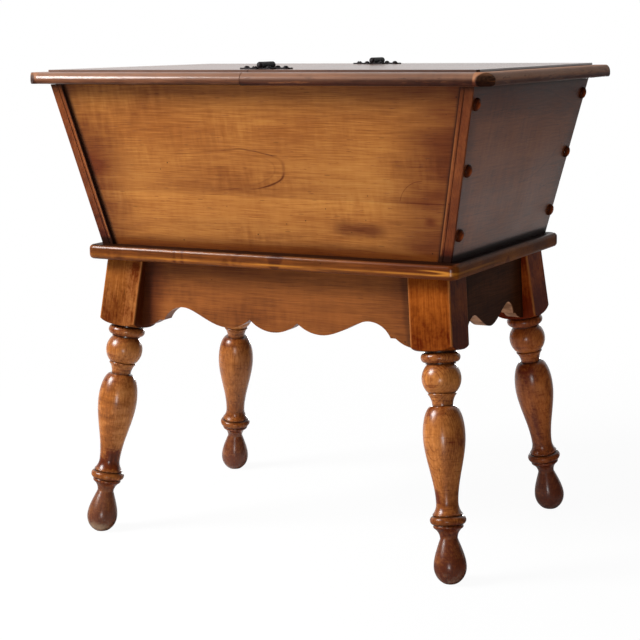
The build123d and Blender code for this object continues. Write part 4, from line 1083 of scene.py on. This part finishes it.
def makeScrewMesh():
    shape = hingeScrews
    radius = shape["headRadius"]
    rise = shape["headHeight"] - shape["rim"]
    cap = (radius ** 2 + rise ** 2) / (2 * rise)
    sweep = math.asin(radius / cap)
    profile = [
        (0.0, -shape["shankLength"]),
        (shape["shankRadius"], shape["point"] - shape["shankLength"]),
        (shape["shankRadius"], 0.0),
        (radius, 0.0),
    ]
    for step in range(shape["domeSteps"] + 1):
        angle = sweep * (1.0 - step / shape["domeSteps"])
        profile.append((cap * math.sin(angle), shape["headHeight"] - cap + cap * math.cos(angle)))
    body = bmesh.new()
    corners = [body.verts.new((across, 0.0, height)) for across, height in profile]
    sides = [body.edges.new(pair) for pair in zip(corners, corners[1:])]
    bmesh.ops.spin(body, geom=corners + sides, cent=(0, 0, 0), axis=(0, 0, 1),
                   angle=math.tau, steps=shape["sides"], use_duplicate=False)
    bmesh.ops.remove_doubles(body, verts=body.verts[:], dist=1e-6)

    half = shape["slotWidth"] / 2
    for wall in (-half, half):
        everything = body.verts[:] + body.edges[:] + body.faces[:]
        bmesh.ops.bisect_plane(body, geom=everything, plane_co=(0, wall, 0), plane_no=(0, 1, 0), dist=1e-7)
    slotted = [face for face in body.faces
               if abs(face.calc_center_median().y) < half and face.calc_center_median().z > shape["rim"]]
    sunk = bmesh.ops.extrude_face_region(body, geom=slotted)["geom"]
    floor = shape["headHeight"] - shape["slotDepth"]
    for corner in sunk:
        if isinstance(corner, bmesh.types.BMVert):
            corner.co.z = min(corner.co.z, floor)
    bmesh.ops.delete(body, geom=[face for face in slotted if face.is_valid], context="FACES")
    bmesh.ops.remove_doubles(body, verts=body.verts[:], dist=1e-7)
    bmesh.ops.recalc_face_normals(body, faces=body.faces[:])
    openEdges = sum(len(edge.link_faces) != 2 for edge in body.edges)
    print("screw mesh:", len(body.faces), "faces,", openEdges, "open edges")
    mesh = bpy.data.meshes.new("screw")
    body.to_mesh(mesh)
    body.free()
    mesh.shade_smooth()
    mesh.set_sharp_from_angle(angle=math.radians(40))
    return mesh


def makeScatterTree():
    # one copy of the screw on each point, turned about its own axis
    tree = bpy.data.node_groups.new("scatterScrews", "GeometryNodeTree")
    given = {"Spots": "Geometry", "Screw": "Object", "Seed": "Int", "Finish": "Material"}
    for label, kind in given.items():
        tree.interface.new_socket(label, in_out="INPUT", socket_type="NodeSocket" + kind)
    tree.interface.new_socket("Screws", in_out="OUTPUT", socket_type="NodeSocketGeometry")
    graph = Graph(tree)
    spots, screw, seed, coating = (graph.node("NodeGroupInput", None, (), label) for label in given)
    source = graph.node("GeometryNodeObjectInfo", None, {"Object": screw}, "Geometry")
    # sockets 2 and 3 are the least and the most of a random float, whose output is socket 1
    limits = {2: 0.0, 3: math.pi, "Seed": seed}
    angle = graph.node("FunctionNodeRandomValue", {"data_type": "FLOAT"}, limits, 1)
    layout = {"Points": spots, "Instance": source, "Rotation": graph.vector(0.0, 0.0, angle)}
    copies = graph.node("GeometryNodeInstanceOnPoints", None, layout)
    screws = graph.node("GeometryNodeRealizeInstances", None, {"Geometry": copies})
    coated = graph.node("GeometryNodeSetMaterial", None, {"Geometry": screws, "Material": coating})
    graph.node("NodeGroupOutput", None, (coated,))
    return tree


def scatterScrews(name, side, seed, tree, screw):
    # side is +1 for the fixed leaves and -1 for the lid's
    shape = hingeScrews
    spots = [(shape["tongueX"], 0.0), (shape["pairX"], shape["pairY"]), (shape["pairX"], -shape["pairY"])]
    seats = [(side * x, middle + y, shape["seat"]) for middle in (-shape["hingeY"], shape["hingeY"])
             for x, y in spots]
    points = bpy.data.meshes.new(name + "Spots")
    points.from_pydata(seats, [], [])
    piece = bpy.data.objects.new(name, points)
    scene.collection.objects.link(piece)
    modifier = piece.modifiers.new("scatter", "NODES")
    modifier.node_group = tree
    settings = {"Screw": screw, "Seed": seed, "Finish": iron}
    for item in tree.interface.items_tree:
        if item.name in settings:
            modifier[item.identifier] = settings[item.name]
    evaluated = piece.evaluated_get(bpy.context.evaluated_depsgraph_get())
    mesh = bpy.data.meshes.new_from_object(evaluated)
    piece.modifiers.clear()
    piece.data = mesh
    bpy.data.meshes.remove(points)
    return piece


screwSource = bpy.data.objects.new("screwSource", makeScrewMesh())
scene.collection.objects.link(screwSource)
scatterTree = makeScatterTree()
for name, side, body, node in (
    ("slottedFixedScrews", 1, "chest", "hinge_fixed_screws"),
    ("slottedLidScrews", -1, "lid", "hinge_lid_screws"),
):
    piece = scatterScrews(name, side, hingeScrews["seed"] + side, scatterTree, screwSource)
    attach(piece, body)
    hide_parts(node)
    print(name, len(piece.data.polygons), "faces")
bpy.data.objects.remove(screwSource)


studio = {
    "floorHalf": 9.0,
    "paperNear": (0.80, 0.80, 0.80, 1.0),  # what lights the object from the floor
    "paperFar": (0.10, 0.10, 0.10, 1.0),
    "paperFront": (0.16, 0.16, 0.16, 1.0),  # the floor in reflections, before and behind the object
    "paperBehind": (0.95, 0.93, 0.91, 1.0),
    "floorLift": 0.95,  # share of plain white in the floor near the object, as the camera sees it
    "liftOver": (0.45, 1.5),  # distances over which that share grows to all
    "nearOver": (1.1, 1.8),  # distances over which near paper gives way to far paper
    "turn": 0.25,  # the mirrored floor changes about a point this far to the right
    "mirrorSide": (0.62, 0.42),  # it turns pale as a direction's x falls from the first to the second
    "ambient": (0.95, 0.97, 1.0, 1.0),
    "ambientDim": 0.07,
    "ambientBright": 0.34,
    "mirrorDim": 0.06,
    "keySide": (-0.55, -0.60, 0.35),  # the side that the ambient light is brightest on
}
plainWhite = (1.0, 1.0, 1.0, 1.0)


def lightPath(graph, name):
    return graph.node("ShaderNodeLightPath", None, (), name)


def makeFloor():
    half = studio["floorHalf"]
    mesh = bpy.data.meshes.new("studioFloor")
    corners = [(-half, -half, 0.0), (half, -half, 0.0), (half, half, 0.0), (-half, half, 0.0)]
    mesh.from_pydata(corners, [], [(0, 1, 2, 3)])
    floor = bpy.data.objects.new("studioFloor", mesh)
    scene.collection.objects.link(floor)
    material, graph = newMaterial("paperFloor")
    seen = lightPath(graph, "Is Camera Ray")
    x, y, z = graph.parts(objectPlace(graph))
    away = (x * x + y * y).root()
    lift = studio["floorLift"] + (1.0 - studio["floorLift"]) * away.rise(*studio["liftOver"])
    grey = graph.mix(away.rise(*studio["nearOver"]), studio["paperNear"], studio["paperFar"])
    pastTurn = x - studio["turn"]
    rightwards = pastTurn / (pastTurn ** 2.0 + y * y).root().most(0.01)
    behind = y.rise(-0.35, 0.35) * rightwards.rise(*studio["mirrorSide"])
    mirrored = graph.mix(behind, studio["paperFront"], studio["paperBehind"])
    grey = graph.mix(lightPath(graph, "Is Glossy Ray"), grey, mirrored)
    paper = graph.node("ShaderNodeBsdfDiffuse", None, {"Color": graph.mix(seen, grey, plainWhite)})
    white = graph.node("ShaderNodeEmission", None, {"Color": plainWhite, "Strength": 1.0})
    surface = graph.node("ShaderNodeMixShader", None, (seen * lift, paper, white))
    graph.node("ShaderNodeOutputMaterial", None, {"Surface": surface})
    mesh.materials.append(material)


makeFloor()


def makeWorld():
    world = bpy.data.worlds.new("studioWorld")
    scene.world = world
    world.use_nodes = True
    graph = Graph(world.node_tree)
    x, y, z = graph.parts(graph.node("ShaderNodeTexCoord", None, (), "Generated"))
    seen = lightPath(graph, "Is Camera Ray")
    mirrored = lightPath(graph, "Is Glossy Ray").most(lightPath(graph, "Is Transmission Ray"))
    keyX, keyY, keyZ = studio["keySide"]
    towardsKey = (x * keyX + y * keyY + z * keyZ).rise(-0.7, 0.9)
    ambient = studio["ambientDim"] + (studio["ambientBright"] - studio["ambientDim"]) * towardsKey
    behind = y.rise(-0.3, 0.55) * x.rise(*studio["mirrorSide"])
    backdrop = studio["mirrorDim"] + (1.0 - studio["mirrorDim"]) * behind
    strength = ambient + (backdrop - ambient) * mirrored
    colour = graph.mix(seen.most(mirrored), studio["ambient"], plainWhite)
    studioLight = graph.node("ShaderNodeBackground", None, {"Color": colour, "Strength": strength})
    white = graph.node("ShaderNodeBackground", None, {"Color": plainWhite, "Strength": 1.0})
    surface = graph.node("ShaderNodeMixShader", None, (seen, studioLight, white))
    graph.node("ShaderNodeOutputWorld", None, {"Surface": surface})


makeWorld()

lamps = {
    "key": {"from": (-1.35, -1.18, 1.42), "to": (0.0, -0.05, 0.34), "size": (0.75, 0.75), "power": 66.0},
    "low": {"from": (0.78, -2.15, 0.16), "to": (0.05, -0.1, 0.30), "size": (0.26, 0.20), "power": 9.0},
    "back": {"from": (-0.60, 2.20, 0.26), "to": (0.0, 0.10, 0.34), "size": (0.80, 0.30), "power": 24.0},
}
for name, lamp in lamps.items():
    light = bpy.data.lights.new(name + "Lamp", "AREA")
    light.shape = "RECTANGLE"
    light.size, light.size_y = lamp["size"]
    light.energy = lamp["power"]
    holder = bpy.data.objects.new(name + "Lamp", light)
    holder.location = lamp["from"]
    aim = Vector(lamp["to"]) - Vector(lamp["from"])
    holder.rotation_euler = aim.to_track_quat("-Z", "Y").to_euler()
    holder.visible_camera = False
    scene.collection.objects.link(holder)
scene.view_settings.view_transform = "Standard"
print("studio set")
